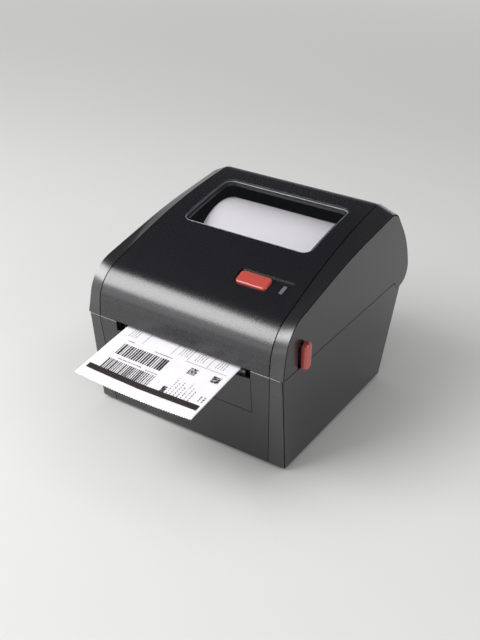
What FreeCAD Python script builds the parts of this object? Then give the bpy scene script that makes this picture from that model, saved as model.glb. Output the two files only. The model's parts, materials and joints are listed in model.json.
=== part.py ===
import FreeCAD
import Part
import Sketcher
import math
import os
from FreeCAD import Placement, Rotation, Vector

# Desktop thermal label printer: a base with the paper drive, a cover hinged at the rear, a roll in between.
# X is to the right, Y to the back, Z up; the feet stand on Z = 0.  Lengths are in millimetres.

SIZES = [
    ("label_width", 105.0, "label roll and strip"),
    ("side_room", 36.8, "room beside the label for holders, gears and latches"),
    ("depth", 202.0, "front to rear at the parting line"),
    ("parting_height", 87.0, "parting line between base and cover"),
    ("parting_gap", 0.6, "open line between base and cover"),
    ("wall", 2.5, "moulded wall"),
    ("foot_height", 2.0, "rubber foot below the shell"),
    ("foot_radius", 8.0, "rubber foot"),
    ("foot_rim", 0.6, "rounded lower rim of a foot"),
    ("foot_side", 21.3, "foot centre in from the side"),
    ("foot_front", 29.0, "front foot centre behind the front"),
    ("foot_rear", 51.0, "rear foot centre in front of the rear"),
    ("front_setback", 10.0, "how far the base front leans in at the bottom"),
    ("rear_setback", 29.5, "how far the base rear leans in at the bottom"),
    ("edge_round", 2.5, "rounded upright edges of the base"),
    ("bottom_round", 2.2, "rounded lower edge of the base"),
    ("rim_round", 1.0, "rounded upper edge of the base"),
    ("groove_width", 0.6, "shut line drawn on the base front"),
    ("groove_depth", 0.7, "shut line drawn on the base front"),
    ("groove_slant", 4.0, "shut line runs in by this much at the bottom"),
    ("cheek_wide", 13.9, "cheek beside the top panel at mid depth"),
    ("seam_taper", 0.028, "top panel narrows by this much per mm to the rear, each side"),
    ("seam_gap", 0.8, "open line beside the top panel"),
    ("panel_thick", 2.2, "top panel skin"),
    ("panel_backing", 2.0, "cover frame below the top panel"),
    ("panel_bed", 0.2, "space below the top panel skin"),
    ("panel_stop", 5.0, "rear end of the top panel in front of the rear corner"),
    ("panel_corner", 5.0, "rounded rear corners of the top panel"),
    ("side_lean", 0.04, "cover sides lean in by this much per mm of height"),
    ("front_lean", 0.053, "cover front leans back by this much per mm of height"),
    ("shoulder_rise", 31.9, "front roof corner above the parting line"),
    ("shoulder_round", 30.0, "large front radius of the cover"),
    ("roof_rise", 34.0, "roof climbs from the front corner to mid depth"),
    ("roof_round", 560.0, "crown of the roof"),
    ("ridge_rise", 7.5, "roof climbs from mid depth to the rear corner"),
    ("ridge_inset", 25.0, "rear roof corner in front of the rear"),
    ("ridge_round", 16.0, "rounding of the rear roof corner"),
    ("crease_lean", 0.18, "front lean along the outer crease"),
    ("crease_lift", 4.9, "outer crease above the front roof corner"),
    ("crease_drop", 8.15, "outer crease below the roof at mid depth"),
    ("crease_ridge_drop", 6.6, "outer crease below the rear roof corner"),
    ("crease_ridge_back", 2.5, "outer crease corner behind the rear roof corner"),
    ("rear_bend_back", 27.8, "bend of the rear slope behind the rear roof corner"),
    ("rear_bend_drop", 40.4, "bend of the rear slope below the rear roof corner"),
    ("rear_bend_round", 80.0, "rounding of that bend"),
    ("hinge_inset", 5.0, "hinge axis in front of the rear"),
    ("hinge_rise", 7.0, "hinge axis above the parting line"),
    ("hinge_pin_radius", 3.0, "hinge pin"),
    ("barrel_round", 14.0, "rolled rear edge of the cover about the hinge"),
    ("barrel_gap", 0.6, "space between rolled edge and base"),
    ("ear_thick", 5.0, "hinge ear of the base"),
    ("ear_gap", 1.3, "space between hinge ear and side wall"),
    ("ear_round", 5.5, "hinge ear about the pin"),
    ("ear_root", 22.0, "root of the ear in front of the hinge axis"),
    ("ear_neck", 14.0, "rear face of the ear in front of the hinge axis"),
    ("ear_drop", 21.0, "lower end of the ear below the parting line"),
    ("web_thick", 5.0, "cover web that holds the hinge pin"),
    ("web_gap", 0.6, "space between cover web and hinge ear"),
    ("running_gap", 0.06, "running clearance on a radius"),
    ("slip_gap", 0.4, "loose clearance between mouldings"),
    ("window_side", 16.1, "window edge inside the panel seam"),
    ("window_stop", 19.0, "window edge in front of the rear end of the top panel"),
    ("window_deep", 69.3, "window front to rear"),
    ("window_corner", 8.0, "corner radius of the window"),
    ("window_ledge", 3.0, "ledge that carries the window"),
    ("window_gap", 0.2, "space around the window"),
    ("window_sink", 0.1, "window below the panel face"),
    ("slot_side", 9.0, "label opening beyond the label edge"),
    ("slot_open", 8.4, "height of the label opening below the parting line"),
    ("insert_drop", 39.5, "bottom edge of the front insert below the parting line"),
    ("insert_flange", 3.0, "flange of the front insert beyond the opening"),
    ("flange_thick", 1.5, "flange of the front insert"),
    ("flange_stop", 4.0, "flange ends this far below the label opening"),
    ("bar_back", 3.2, "tear bar behind the front"),
    ("bar_drop", 5.0, "seat of the tear bar below the parting line"),
    ("ledge_tall", 8.0, "ledge of the tear bar below the label opening"),
    ("bar_deep", 3.0, "tear bar front to rear"),
    ("bar_thick", 0.5, "tear bar"),
    ("bar_end", 6.0, "tear bar ends short of the opening"),
    ("tooth_step", 2.0, "pitch of the tear bar teeth"),
    ("tooth_half", 0.7, "half width of a gap between teeth"),
    ("tooth_deep", 0.9, "gap between teeth"),
    ("boss_radius", 5.4, "screw boss"),
    ("boss_tall", 19.5, "screw boss above the bottom plate"),
    ("boss_inset", 5.0, "screw boss in from the side wall"),
    ("boss_front", 33.0, "front screws behind the front"),
    ("boss_rear", 57.0, "rear screws in front of the rear"),
    ("boss_cap", 3.0, "closed upper end of a boss"),
    ("screw_radius", 1.35, "screw"),
    ("screw_head", 2.9, "screw head"),
    ("screw_sink", 1.3, "screw head below the plate face"),
    ("screw_long", 12.0, "screw above the bottom plate"),
    ("screw_gap", 0.15, "boss hole around the screw"),
    ("screw_clear", 0.4, "plate hole around the screw"),
    ("button_inset", 39.3, "button centre in from the seam beside the panel"),
    ("button_setback", 43.7, "button centre behind the front"),
    ("button_long", 26.8, "button"),
    ("button_deep", 12.6, "button"),
    ("button_proud", 1.6, "button above the panel"),
    ("button_travel", 1.2, "button stroke"),
    ("button_skirt", 4.0, "button below the panel face"),
    ("button_corner", 3.2, "upright corners of the button"),
    ("button_edge", 1.2, "rounded top edge of the button"),
    ("button_gap", 0.5, "space around the button"),
    ("stem_half", 2.0, "stem under the button"),
    ("stem_low", 6.6, "stem end below the panel face"),
    ("dish_depth", 1.3, "dish around button and light pipe, deepest at its rear edge"),
    ("dish_left", 2.2, "dish beyond the button"),
    ("dish_right", 3.5, "dish beyond the light pipe"),
    ("dish_front", 2.5, "dish beyond the button"),
    ("dish_back", 2.6, "dish beyond the button"),
    ("light_inset", 14.5, "light pipe in from the seam beside the panel"),
    ("light_wide", 3.0, "light pipe"),
    ("light_long", 8.6, "light pipe"),
    ("light_corner", 0.6, "upright corners of the light pipe"),
    ("light_low", 7.0, "light pipe below the panel face"),
    ("light_proud", 0.25, "light pipe above the panel face"),
    ("light_gap", 0.15, "space around the light pipe"),
    ("key_gap", 0.1, "space under the pressed button stem"),
    ("key_tall", 3.6, "push switch on the key board"),
    ("key_half", 3.0, "push switch"),
    ("key_left", 20.0, "key board left of the button centre"),
    ("key_right", 7.2, "key board right of the light pipe"),
    ("key_deep", 18.0, "key board front to rear"),
    ("lamp_wide", 3.0, "lamp under the light pipe"),
    ("lamp_deep", 5.0, "lamp under the light pipe"),
    ("lamp_tall", 2.0, "lamp under the light pipe"),
    ("latch_setback", 28.0, "latch tab behind the front"),
    ("latch_pivot_setback", 31.0, "latch pivot behind the front"),
    ("latch_pivot_drop", 27.0, "latch pivot below the parting line"),
    ("latch_below", 2.3, "latch tab below the parting line"),
    ("latch_above", 20.5, "latch tab above the parting line"),
    ("latch_wide", 9.0, "latch tab"),
    ("latch_out", 4.6, "thickness of the latch tab"),
    ("latch_edge", 2.6, "rounded outer edge of the latch tab"),
    ("latch_gap", 0.7, "space between latch and cover"),
    ("latch_swing", 8.0, "pull of the latch in degrees"),
    ("latch_pin_radius", 3.0, "latch pivot pin"),
    ("latch_pin_long", 9.0, "latch pivot pin"),
    ("latch_eye", 5.0, "latch lever about its pivot"),
    ("latch_collar", 2.2, "collar at the root of the latch pin"),
    ("lever_thick", 4.1, "latch lever"),
    ("neck_half", 2.25, "half width of the latch neck"),
    ("neck_back", 1.75, "latch neck behind the middle of the tab"),
    ("neck_stop", 4.0, "latch neck ends below the top of the tab"),
    ("hook_half", 3.5, "half width of the lever at its upper end"),
    ("hook_back", 6.0, "nose of the hook behind the tab centre"),
    ("hook_tall", 2.5, "hook above the neck"),
    ("coil_wire", 0.4, "wire of the latch spring"),
    ("coil_gap", 0.5, "latch spring around its pin"),
    ("platen_setback", 17.0, "platen axis behind the front"),
    ("platen_drop", 10.5, "platen axis below the parting line"),
    ("platen_radius", 7.0, "rubber roller"),
    ("platen_over", 2.0, "rubber roller beyond the label edge"),
    ("shaft_radius", 3.0, "platen shaft"),
    ("shaft_end", 1.0, "shaft beyond the gear and the plate"),
    ("bush_radius", 5.0, "shaft bushes"),
    ("bush_over", 1.5, "bush beyond each face of the plate"),
    ("bush_gap", 0.05, "seat of the bush in the plate"),
    ("plate_side", 10.5, "drive plate beyond the label edge"),
    ("plate_thick", 2.0, "drive plates"),
    ("plate_rear", 12.0, "drive plate behind the platen axis"),
    ("plate_top", 6.5, "drive plate above the platen axis"),
    ("plate_foot", 2.0, "drive plate foot in front of the platen axis"),
    ("gear_module", 1.0, "gear module"),
    ("gear_thick", 6.0, "gears"),
    ("gear_side", 4.0, "gears beside the drive plate"),
    ("platen_teeth", 26, "teeth"),
    ("idler_teeth", 28, "teeth"),
    ("pinion_teeth", 12, "teeth"),
    ("tooth_relief", 0.25, "tooth tips stop short of the pitch line"),
    ("train_fall", 59.35, "gear train runs down and back at this angle"),
    ("idler_radius", 2.5, "post of the idler gear"),
    ("idler_collar", 4.0, "collars of the idler post"),
    ("motor_square", 42.0, "motor body"),
    ("motor_long", 34.0, "motor body"),
    ("motor_chamfer", 4.0, "motor corners"),
    ("motor_boss", 12.0, "opening of the drive plate in front of the motor"),
    ("motor_shaft_radius", 2.5, "motor shaft"),
    ("roll_rear_gap", 1.5, "space between roll and rolled rear edge"),
    ("roll_roof_gap", 7.4, "roll below the roof at mid depth"),
    ("roll_radius", 47.0, "label roll"),
    ("core_wall", 2.3, "card core"),
    ("core_bore", 12.7, "inside of the core"),
    ("strip_gap", 0.35, "space between strip and roller, and strip and head"),
    ("strip_lead", 12.0, "strip bends level behind the platen axis"),
    ("strip_bend", 4.0, "half length of that bend"),
    ("strip_off", 0.6, "strip leaves the roll this far off"),
    ("strip_level", 4.0, "strip starts to droop behind the front"),
    ("label_thick", 0.25, "label strip"),
    ("label_reach", 60.0, "strip beyond the base front"),
    ("label_drop", 9.5, "strip end below the slot"),
    ("hub_long", 9.0, "holder hub inside the core"),
    ("hub_gap", 0.4, "hub inside the core"),
    ("hub_lead", 1.5, "lead-in of the hub"),
    ("holder_gap", 0.7, "space between holder and roll end"),
    ("holder_thick", 5.0, "holder arm"),
    ("holder_foot", 17.0, "half width of the holder at its foot and about the hub"),
    ("holder_waist", 12.0, "half width of the holder at the hub"),
    ("holder_clear", 4.5, "holder arm above the tray"),
    ("holder_travel", 18.0, "holder stroke to each side"),
    ("leg_half", 3.0, "half width of the holder leg"),
    ("leg_gap", 0.5, "space beside the leg in the tray slot"),
    ("slot_spare", 1.5, "tray slot beyond the holder stroke"),
    ("trough_gap", 15.0, "media bay around the roll"),
    ("deck_drop", 33.0, "deck in front of the media bay below the parting line"),
    ("deck_lead", 48.0, "front end of the deck behind the platen axis"),
    ("tray_thick", 2.0, "media tray"),
    ("tray_stop", 9.0, "rear end of the tray in front of the hinge axis"),
    ("rack_pitch_radius", 5.0, "holder pinion"),
    ("rack_gap", 0.3, "rack outside the pinion"),
    ("rack_deep", 3.0, "rack bar"),
    ("rack_tall", 4.0, "rack bar and pinion"),
    ("rack_over", 26.0, "rack beyond the middle"),
    ("rack_tooth", 0.9, "half width of a gap between rack teeth"),
    ("rack_cut", 1.2, "gap between rack teeth"),
    ("pinion_drop", 8.0, "holder pinion below the tray"),
    ("pinion_post", 2.0, "post of the holder pinion"),
    ("port_half", 62.0, "half width of the port recess"),
    ("port_setback", 35.0, "port face in front of the rear"),
    ("port_low", 8.0, "lower edge of the port recess"),
    ("port_tall", 22.0, "port recess"),
    ("inlet_across", 44.0, "power inlet to the left of the middle"),
    ("inlet_drop", 2.0, "power inlet below the middle of the recess"),
    ("inlet_half", 5.5, "power inlet body"),
    ("inlet_collar", 4.3, "power inlet collar"),
    ("inlet_bore", 2.9, "power inlet bore"),
    ("inlet_pin", 1.0, "power inlet pin"),
    ("inlet_long", 13.0, "power inlet body"),
    ("socket_across", 18.0, "data socket to the left of the middle"),
    ("socket_half", 6.0, "data socket shell"),
    ("socket_tall", 11.0, "data socket shell"),
    ("socket_drop", 7.5, "data socket below the middle of the recess"),
    ("socket_shell", 1.7, "data socket shell thickness"),
    ("socket_long", 14.0, "data socket"),
    ("tongue_half", 2.8, "tongue in the data socket"),
    ("tongue_tall", 3.2, "tongue in the data socket"),
    ("port_gap", 0.3, "space around inlet and socket"),
    ("switch_across", 30.0, "power switch to the right of the middle"),
    ("switch_half", 9.8, "power switch housing"),
    ("switch_tall", 13.2, "power switch housing"),
    ("switch_long", 14.0, "power switch housing"),
    ("switch_wall", 1.2, "power switch housing"),
    ("switch_lip", 1.2, "lip of the housing on the port face"),
    ("switch_proud", 1.6, "lip of the housing"),
    ("switch_floor", 9.0, "floor of the housing behind the port face"),
    ("switch_gap", 0.2, "space around the housing"),
    ("rocker_half", 8.0, "rocker"),
    ("rocker_flat", 4.0, "half width of the rocker's back"),
    ("rocker_edge", 7.0, "rocker face"),
    ("rocker_back", 3.2, "rocker behind its axis"),
    ("rocker_side", 0.5, "rocker's widest line in front of its axis"),
    ("rocker_high", 6.4, "pressed-out end of the rocker"),
    ("rocker_mid", 3.6, "hollow of the rocker"),
    ("rocker_low", 4.4, "pressed-in end of the rocker"),
    ("rocker_sink", 3.0, "rocker axis behind the port face"),
    ("rocker_gap", 0.6, "space above and below the rocker"),
    ("rocker_pin", 1.0, "pins of the rocker"),
    ("board_long", 118.0, "main board"),
    ("board_deep", 84.0, "main board"),
    ("board_thick", 1.6, "circuit boards"),
    ("board_rise", 5.0, "main board above the bottom plate"),
    ("board_gap", 0.5, "main board off the port wall"),
    ("board_edge", 5.0, "board holes in from the edges"),
    ("board_hole", 1.7, "board holes"),
    ("standoff_radius", 3.2, "board standoffs"),
    ("standoff_pin", 1.4, "pin of a standoff through the board"),
    ("standoff_over", 4.0, "pin above the board's lower face"),
    ("sensor_long", 16.0, "gap sensor"),
    ("sensor_deep", 12.0, "gap sensor"),
    ("sensor_tall", 5.0, "gap sensor"),
    ("sensor_lead", 8.0, "gap sensor behind the front end of the deck"),
    ("head_over", 3.5, "print head beyond the label edge"),
    ("head_front", 5.0, "print head in front of the platen axis"),
    ("head_rear", 9.0, "print head behind the platen axis"),
    ("head_thick", 1.0, "ceramic strip"),
    ("sink_tall", 5.5, "heat sink"),
    ("fin_step", 2.6, "pitch of the heat sink fins"),
    ("fin_open", 1.2, "gap between fins"),
    ("fin_root", 2.6, "heat sink below the gaps"),
    ("fin_first", 0.6, "first gap behind the platen axis"),
    ("bracket_over", 6.0, "head bracket beyond the print head"),
    ("bracket_thick", 1.5, "head bracket"),
    ("spring_across", 34.0, "head springs from the middle"),
    ("spring_back", 2.0, "head springs behind the platen axis"),
    ("spring_radius", 4.0, "head spring"),
    ("spring_wire", 0.5, "wire of the head spring"),
    ("spring_gap", 0.5, "ends of the head spring off bracket and cover"),
]

# Places that follow from the sizes above.
PLACES = [
    ("width", "label_width + 2 * side_room", "across the side walls"),
    ("hinge_place", "depth / 2 - hinge_inset", "hinge axis"),
    ("hinge_height", "parting_height + hinge_rise", "hinge axis"),
    ("shoulder_height", "parting_height + shoulder_rise", "front roof corner"),
    ("roof_peak", "shoulder_height + roof_rise", "roof at mid depth"),
    ("ridge_height", "roof_peak + ridge_rise", "rear roof corner"),
    ("ridge_place", "depth / 2 - ridge_inset", "rear roof corner"),
    ("crease_shoulder", "shoulder_height + crease_lift", "front corner of the crease"),
    ("crease_peak", "roof_peak - crease_drop", "crease at mid depth"),
    ("crease_ridge_height", "ridge_height - crease_ridge_drop", "rear corner of the crease"),
    ("crease_ridge_place", "ridge_place + crease_ridge_back", "rear corner of the crease"),
    ("rear_bend_place", "ridge_place + rear_bend_back", "bend of the rear slope"),
    ("rear_bend_height", "ridge_height - rear_bend_drop", "bend of the rear slope"),
    ("seam_half", "width / 2 - cheek_wide", "panel seam from the middle, at mid depth"),
    ("panel_rear", "ridge_place - panel_stop", "rear end of the top panel"),
    ("window_half", "seam_half - window_side", "window edge from the middle"),
    ("window_rear", "panel_rear - window_stop", "rear edge of the window"),
    ("window_front", "window_rear - window_deep", "front edge of the window"),
    ("slot_half", "label_width / 2 + slot_side", "half width of the label opening"),
    ("insert_bottom", "parting_height - insert_drop", "bottom edge of the front insert"),
    ("button_place", "button_setback - depth / 2", "button centre"),
    ("button_across", "seam_half - button_inset", "button centre to the right of the middle"),
    ("light_across", "seam_half - light_inset", "light pipe to the right of the middle"),
    ("latch_place", "latch_setback - depth / 2", "latch tab"),
    ("latch_pivot_place", "latch_pivot_setback - depth / 2", "latch pivot"),
    ("latch_pivot_height", "parting_height - latch_pivot_drop", "latch pivot"),
    ("latch_bottom", "parting_height - latch_below", "lower end of the latch tab"),
    ("latch_top", "parting_height + latch_above", "upper end of the latch tab"),
    ("platen_place", "platen_setback - depth / 2", "platen axis"),
    ("platen_height", "parting_height - platen_drop", "platen axis"),
    ("platen_half", "label_width / 2 + platen_over", "half length of the rubber roller"),
    ("plate_half", "label_width / 2 + plate_side", "drive plates from the middle"),
    ("roll_place", "hinge_place - barrel_round - roll_radius - roll_rear_gap", "roll axis"),
    ("roll_height", "roof_peak - roll_radius - roll_roof_gap", "roll axis"),
    ("core_radius", "core_bore + core_wall", "outside of the core"),
    ("trough_radius", "roll_radius + trough_gap", "media bay about the roll axis"),
    ("deck_height", "parting_height - deck_drop", "deck in front of the media bay"),
    ("deck_front", "platen_place + deck_lead", "front end of the deck"),
    ("tray_rear", "hinge_place - tray_stop", "rear end of the tray"),
    ("port_face", "depth / 2 - port_setback", "face of the port recess"),
    ("port_high", "port_low + port_tall", "upper edge of the port recess"),
    ("head_half", "label_width / 2 + head_over", "half length of the print head"),
    ("floor_top", "foot_height + wall", "upper face of the bottom plate"),
    ("shift", "(depth / 2 + label_reach - hinge_place - barrel_round) / 2", "brings the middle to zero"),
]

doc = FreeCAD.newDocument("label_printer")
sheet = doc.addObject("Spreadsheet::Sheet", "Sizes")
for row, (name, value, meaning) in enumerate(SIZES, start=1):
    sheet.set("A%d" % row, name)
    sheet.set("B%d" % row, str(value))
    sheet.set("C%d" % row, meaning)
    sheet.setAlias("B%d" % row, name)
for row, (name, formula, meaning) in enumerate(PLACES, start=len(SIZES) + 1):
    sheet.set("A%d" % row, name)
    sheet.set("B%d" % row, "=" + formula)
    sheet.set("C%d" % row, meaning)
    sheet.setAlias("B%d" % row, name)
doc.recompute()


class Sizes:
    """Values read back from the sheet under their own names."""

    def __getattr__(self, name):
        return float(sheet.get(name))


s = Sizes()
X_AXIS = Vector(1, 0, 0)
Y_AXIS = Vector(0, 1, 0)
Z_AXIS = Vector(0, 0, 1)
ALONG_X = Rotation(Y_AXIS, 90)

half_width = s.width / 2
half_depth = s.depth / 2
inner_wall = half_width - s.wall
base_top = s.parting_height - s.parting_gap / 2
cover_bottom = s.parting_height + s.parting_gap / 2
floor_top = s.floor_top
strip_tip = -(half_depth + s.label_reach)
beyond = s.width + s.depth
nodes = []


def keep(obj):
    """Marks a document object as a node of the printer."""
    nodes.append(obj)
    return obj


def shaped(label, shape):
    """A node whose shape is worked out from the sheet."""
    obj = doc.addObject("Part::Feature", label)
    obj.Label = label
    obj.Shape = shape
    obj.Placement = Placement(Vector(0, s.shift, 0), Rotation()).multiply(shape.Placement)
    return keep(obj)


def settle(obj, x, y, z, turn=None):
    """Puts an object where three sheet expressions say."""
    if turn is not None:
        obj.Placement = Placement(Vector(0, 0, 0), turn)
    obj.setExpression("Placement.Base.x", x)
    obj.setExpression("Placement.Base.y", "%s + Sizes.shift" % y)
    obj.setExpression("Placement.Base.z", z)


def drum(label, radius, length, x, y, z, turn=ALONG_X):
    """A Part cylinder bound to the sheet."""
    obj = doc.addObject("Part::Cylinder", label)
    obj.Label = label
    obj.setExpression("Radius", radius)
    obj.setExpression("Height", length)
    settle(obj, x, y, z, turn)
    return obj


def tube(label, outer, inner, length, x, y, z):
    """A Part cut of two cylinders along X, bound to the sheet."""
    body = drum(label + "_outside", outer, length, x, y, z)
    hole = drum(label + "_inside", inner, length, x, y, z)
    obj = doc.addObject("Part::Cut", label)
    obj.Label = label
    obj.Base = body
    obj.Tool = hole
    return keep(obj)


def slab_body(label, wide, deep, thick, x, y, z, holes=None):
    """A padded rectangle about its own centre; holes is (radius, reach in X, reach in Y)."""
    body = doc.addObject("PartDesign::Body", label)
    body.Label = label
    plane = [f for f in body.Origin.OriginFeatures if f.Role == "XY_Plane"][0]
    sketch = body.newObject("Sketcher::SketchObject", label + "_outline")
    sketch.AttachmentSupport = [(plane, "")]
    sketch.MapMode = "FlatFace"
    corners = [Vector(-5, -5, 0), Vector(5, -5, 0), Vector(5, 5, 0), Vector(-5, 5, 0)]
    for i in range(4):
        sketch.addGeometry(Part.LineSegment(corners[i], corners[(i + 1) % 4]), False)
    for i in range(4):
        sketch.addConstraint(Sketcher.Constraint("Coincident", i, 2, (i + 1) % 4, 1))
    for line, kind in ((0, "Horizontal"), (1, "Vertical"), (2, "Horizontal"), (3, "Vertical")):
        sketch.addConstraint(Sketcher.Constraint(kind, line))
    sketch.addConstraint(Sketcher.Constraint("Symmetric", 0, 1, 1, 2, -1, 1))
    across = sketch.addConstraint(Sketcher.Constraint("DistanceX", 0, 1, 0, 2, 10))
    along = sketch.addConstraint(Sketcher.Constraint("DistanceY", 1, 1, 1, 2, 10))
    sketch.setExpression("Constraints[%d]" % across, wide)
    sketch.setExpression("Constraints[%d]" % along, deep)
    pad = body.newObject("PartDesign::Pad", label + "_pad")
    pad.Profile = sketch
    pad.setExpression("Length", thick)
    doc.recompute()
    body.Tip = pad
    if holes is not None:
        radius, reach_x, reach_y = holes
        drill = body.newObject("Sketcher::SketchObject", label + "_drill")
        drill.AttachmentSupport = [(plane, "")]
        drill.MapMode = "FlatFace"
        place = 0
        for side in (-1, 1):
            for end in (-1, 1):
                drill.addGeometry(Part.Circle(Vector(side * 4, end * 4, 0), Z_AXIS, 1), False)
                size = drill.addConstraint(Sketcher.Constraint("Radius", place, 1))
                drill.setExpression("Constraints[%d]" % size, radius)
                out = drill.addConstraint(Sketcher.Constraint("DistanceX", -1, 1, place, 3, side * 4))
                drill.setExpression("Constraints[%d]" % out, "%d * (%s)" % (side, reach_x))
                back = drill.addConstraint(Sketcher.Constraint("DistanceY", -1, 1, place, 3, end * 4))
                drill.setExpression("Constraints[%d]" % back, "%d * (%s)" % (end, reach_y))
                place += 1
        pocket = body.newObject("PartDesign::Pocket", label + "_holes")
        pocket.Profile = drill
        pocket.Type = "ThroughAll"
        pocket.Reversed = True
        body.Tip = pocket
        doc.recompute()
    settle(body, x, y, z)
    return keep(body)


def block(x0, x1, y0, y1, z0, z1):
    """A plain box between two corners."""
    return Part.makeBox(x1 - x0, y1 - y0, z1 - z0, Vector(x0, y0, z0))


def rod(radius, x0, x1, y, z):
    """A cylinder along X."""
    return Part.makeCylinder(radius, x1 - x0, Vector(x0, y, z), X_AXIS)


def plug(radius, y0, y1, x, z):
    """A cylinder along Y."""
    return Part.makeCylinder(radius, y1 - y0, Vector(x, y0, z), Y_AXIS)


def post(radius, z0, z1, x, y):
    """A cylinder along Z."""
    return Part.makeCylinder(radius, z1 - z0, Vector(x, y, z0), Z_AXIS)


def sheet_of(corners, way):
    """A polygon made thick along a direction."""
    return Part.Face(Part.makePolygon(corners + corners[:1])).extrude(way)


def slice_x(points, x0, x1):
    """A polygon in the YZ plane made thick along X."""
    return sheet_of([Vector(x0, y, z) for y, z in points], Vector(x1 - x0, 0, 0))


def fused(shapes):
    """One clean solid or group from many."""
    return shapes[0].multiFuse(shapes[1:]).removeSplitter()


def mirrored(shape):
    """The same piece on the other side of the middle plane."""
    return shape.mirror(Vector(0, 0, 0), X_AXIS)


def both(shape):
    """A piece and its twin on the other side."""
    return Part.makeCompound([shape, mirrored(shape)])


def edges_along(shape, axis):
    """Straight edges of a shape that run along an axis."""
    found = []
    for edge in shape.Edges:
        if abs(edge.tangentAt(edge.FirstParameter).dot(axis)) > 0.99:
            found.append(edge)
    return found


def unit(a, b):
    """Direction from one point in the YZ plane to another."""
    length = math.hypot(b[0] - a[0], b[1] - a[1])
    return ((b[0] - a[0]) / length, (b[1] - a[1]) / length)


def meet(p, d, q, e):
    """Where two lines in the YZ plane cross."""
    cross = d[0] * e[1] - d[1] * e[0]
    along = ((q[0] - p[0]) * e[1] - (q[1] - p[1]) * e[0]) / cross
    return (p[0] + along * d[0], p[1] + along * d[1])


def touch_point(centre, radius, outside):
    """Touching point, on the rear side, of the line from an outside point to a circle."""
    reach = math.hypot(outside[0] - centre[0], outside[1] - centre[1])
    toward = math.atan2(outside[1] - centre[1], outside[0] - centre[0])
    angle = toward - math.acos(radius / reach)
    return (centre[0] + radius * math.cos(angle), centre[1] + radius * math.sin(angle))


def side_outline(lean, shoulder, peak, ridge, inset, bottom, lift):
    """Closed outline of the cover seen from the side: front, shoulder, roof, ridge, rear, rolled edge."""
    hinge = (s.hinge_place, s.hinge_height)
    bend = (s.rear_bend_place, s.rear_bend_height)
    foot = (-half_depth, s.parting_height)
    shoulder_at = (foot[0] + lean * (shoulder - foot[1]), shoulder)
    corners = [foot, shoulder_at, (0.0, peak), ridge, bend, touch_point(hinge, s.barrel_round, bend)]
    ways = [unit(corners[i], corners[i + 1]) for i in range(5)]
    moved = []
    for start, way in zip(corners[:5], ways):
        moved.append((start[0] + inset * way[1], start[1] - inset * way[0]))
    level = ((0.0, bottom), (1.0, 0.0))
    points = [meet(moved[0], ways[0], *level)]
    for i in range(4):
        points.append(meet(moved[i], ways[i], moved[i + 1], ways[i + 1]))
    barrel = s.barrel_round - inset
    points.append(touch_point(hinge, barrel, points[4]))
    rounds = [s.shoulder_round, s.roof_round, s.ridge_round, s.rear_bend_round]
    edges = []
    last = points[0]
    for i, radius in enumerate(rounds, start=1):
        before = unit(points[i - 1], points[i])
        after = unit(points[i], points[i + 1])
        turn = math.acos(before[0] * after[0] + before[1] * after[1])
        room_beside = 0.8 * min(math.dist(points[i - 1], points[i]), math.dist(points[i], points[i + 1]))
        radius = max(min(radius, room_beside / math.tan(turn / 2)) - inset, 1.0)
        back = radius * math.tan(turn / 2)
        a = (points[i][0] - back * before[0], points[i][1] - back * before[1])
        b = (points[i][0] + back * after[0], points[i][1] + back * after[1])
        middle = unit((0, 0), (after[0] - before[0], after[1] - before[1]))
        sag = radius * (1 / math.cos(turn / 2) - 1)
        m = (points[i][0] + sag * middle[0], points[i][1] + sag * middle[1])
        edges.append(Part.LineSegment(lift(*last), lift(*a)).toShape())
        edges.append(Part.Arc(lift(*a), lift(*m), lift(*b)).toShape())
        last = b
    edges.append(Part.LineSegment(lift(*last), lift(*points[5])).toShape())
    drop = hinge[1] - bottom
    end = (hinge[0] - math.sqrt(barrel ** 2 - drop ** 2), bottom)
    low = (hinge[0] + 0.15 * barrel, hinge[1] - barrel * math.sqrt(1 - 0.15 ** 2))
    edges.append(Part.Arc(lift(*points[5]), lift(*low), lift(*end)).toShape())
    edges.append(Part.LineSegment(lift(*end), lift(*points[0])).toShape())
    return Part.Wire(edges)


def seam_wire(sign, inset, bottom, margin=0.0):
    """Outline of the cover in the slightly turned plane of one panel seam."""
    def lift(y, z):
        return Vector(sign * (s.seam_half - s.seam_taper * y + margin), y, z)

    ridge = (s.ridge_place, s.ridge_height)
    return side_outline(s.front_lean, s.shoulder_height, s.roof_peak, ridge, inset, bottom, lift)


def crease_wire(sign, inset, bottom, side_inset):
    """Outline of the cover in the leaning plane of one side."""
    def lift(y, z):
        lean = s.side_lean * (z - s.parting_height)
        return Vector(sign * (half_width - side_inset - lean), y, z)

    ridge = (s.crease_ridge_place, s.crease_ridge_height)
    return side_outline(s.crease_lean, s.crease_shoulder, s.crease_peak, ridge, inset, bottom, lift)


def cover_block(seam_inset, crease_inset, side_inset, bottom):
    """The cover as one block from side to side."""
    wires = [
        crease_wire(-1, crease_inset, bottom, side_inset),
        seam_wire(-1, seam_inset, bottom),
        seam_wire(1, seam_inset, bottom),
        crease_wire(1, crease_inset, bottom, side_inset),
    ]
    return Part.makeLoft(wires, True, True)


def panel_block(inset, bottom, margin):
    """The middle of the cover between the two seams."""
    wires = [seam_wire(sign, inset, bottom, margin) for sign in (-1, 1)]
    return Part.makeLoft(wires, True, True)


def rear_corners(shape, y):
    """Upright edges at the rear end of a skin."""
    found = []
    for edge in shape.Edges:
        box = edge.BoundBox
        if box.YMin > y - 1e-4 and box.ZLength > box.XLength:
            found.append(edge)
    return found


def base_front(z, inset):
    """Depth of the leaning front of the base at a height."""
    lean = s.front_setback / (s.parting_height - s.foot_height)
    return -half_depth + lean * (s.parting_height - z) + inset * math.hypot(1, lean)


def base_rear(z, inset):
    """Depth of the leaning rear of the base at a height."""
    lean = s.rear_setback / (s.parting_height - s.foot_height)
    return half_depth - lean * (s.parting_height - z) - inset * math.hypot(1, lean)


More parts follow.
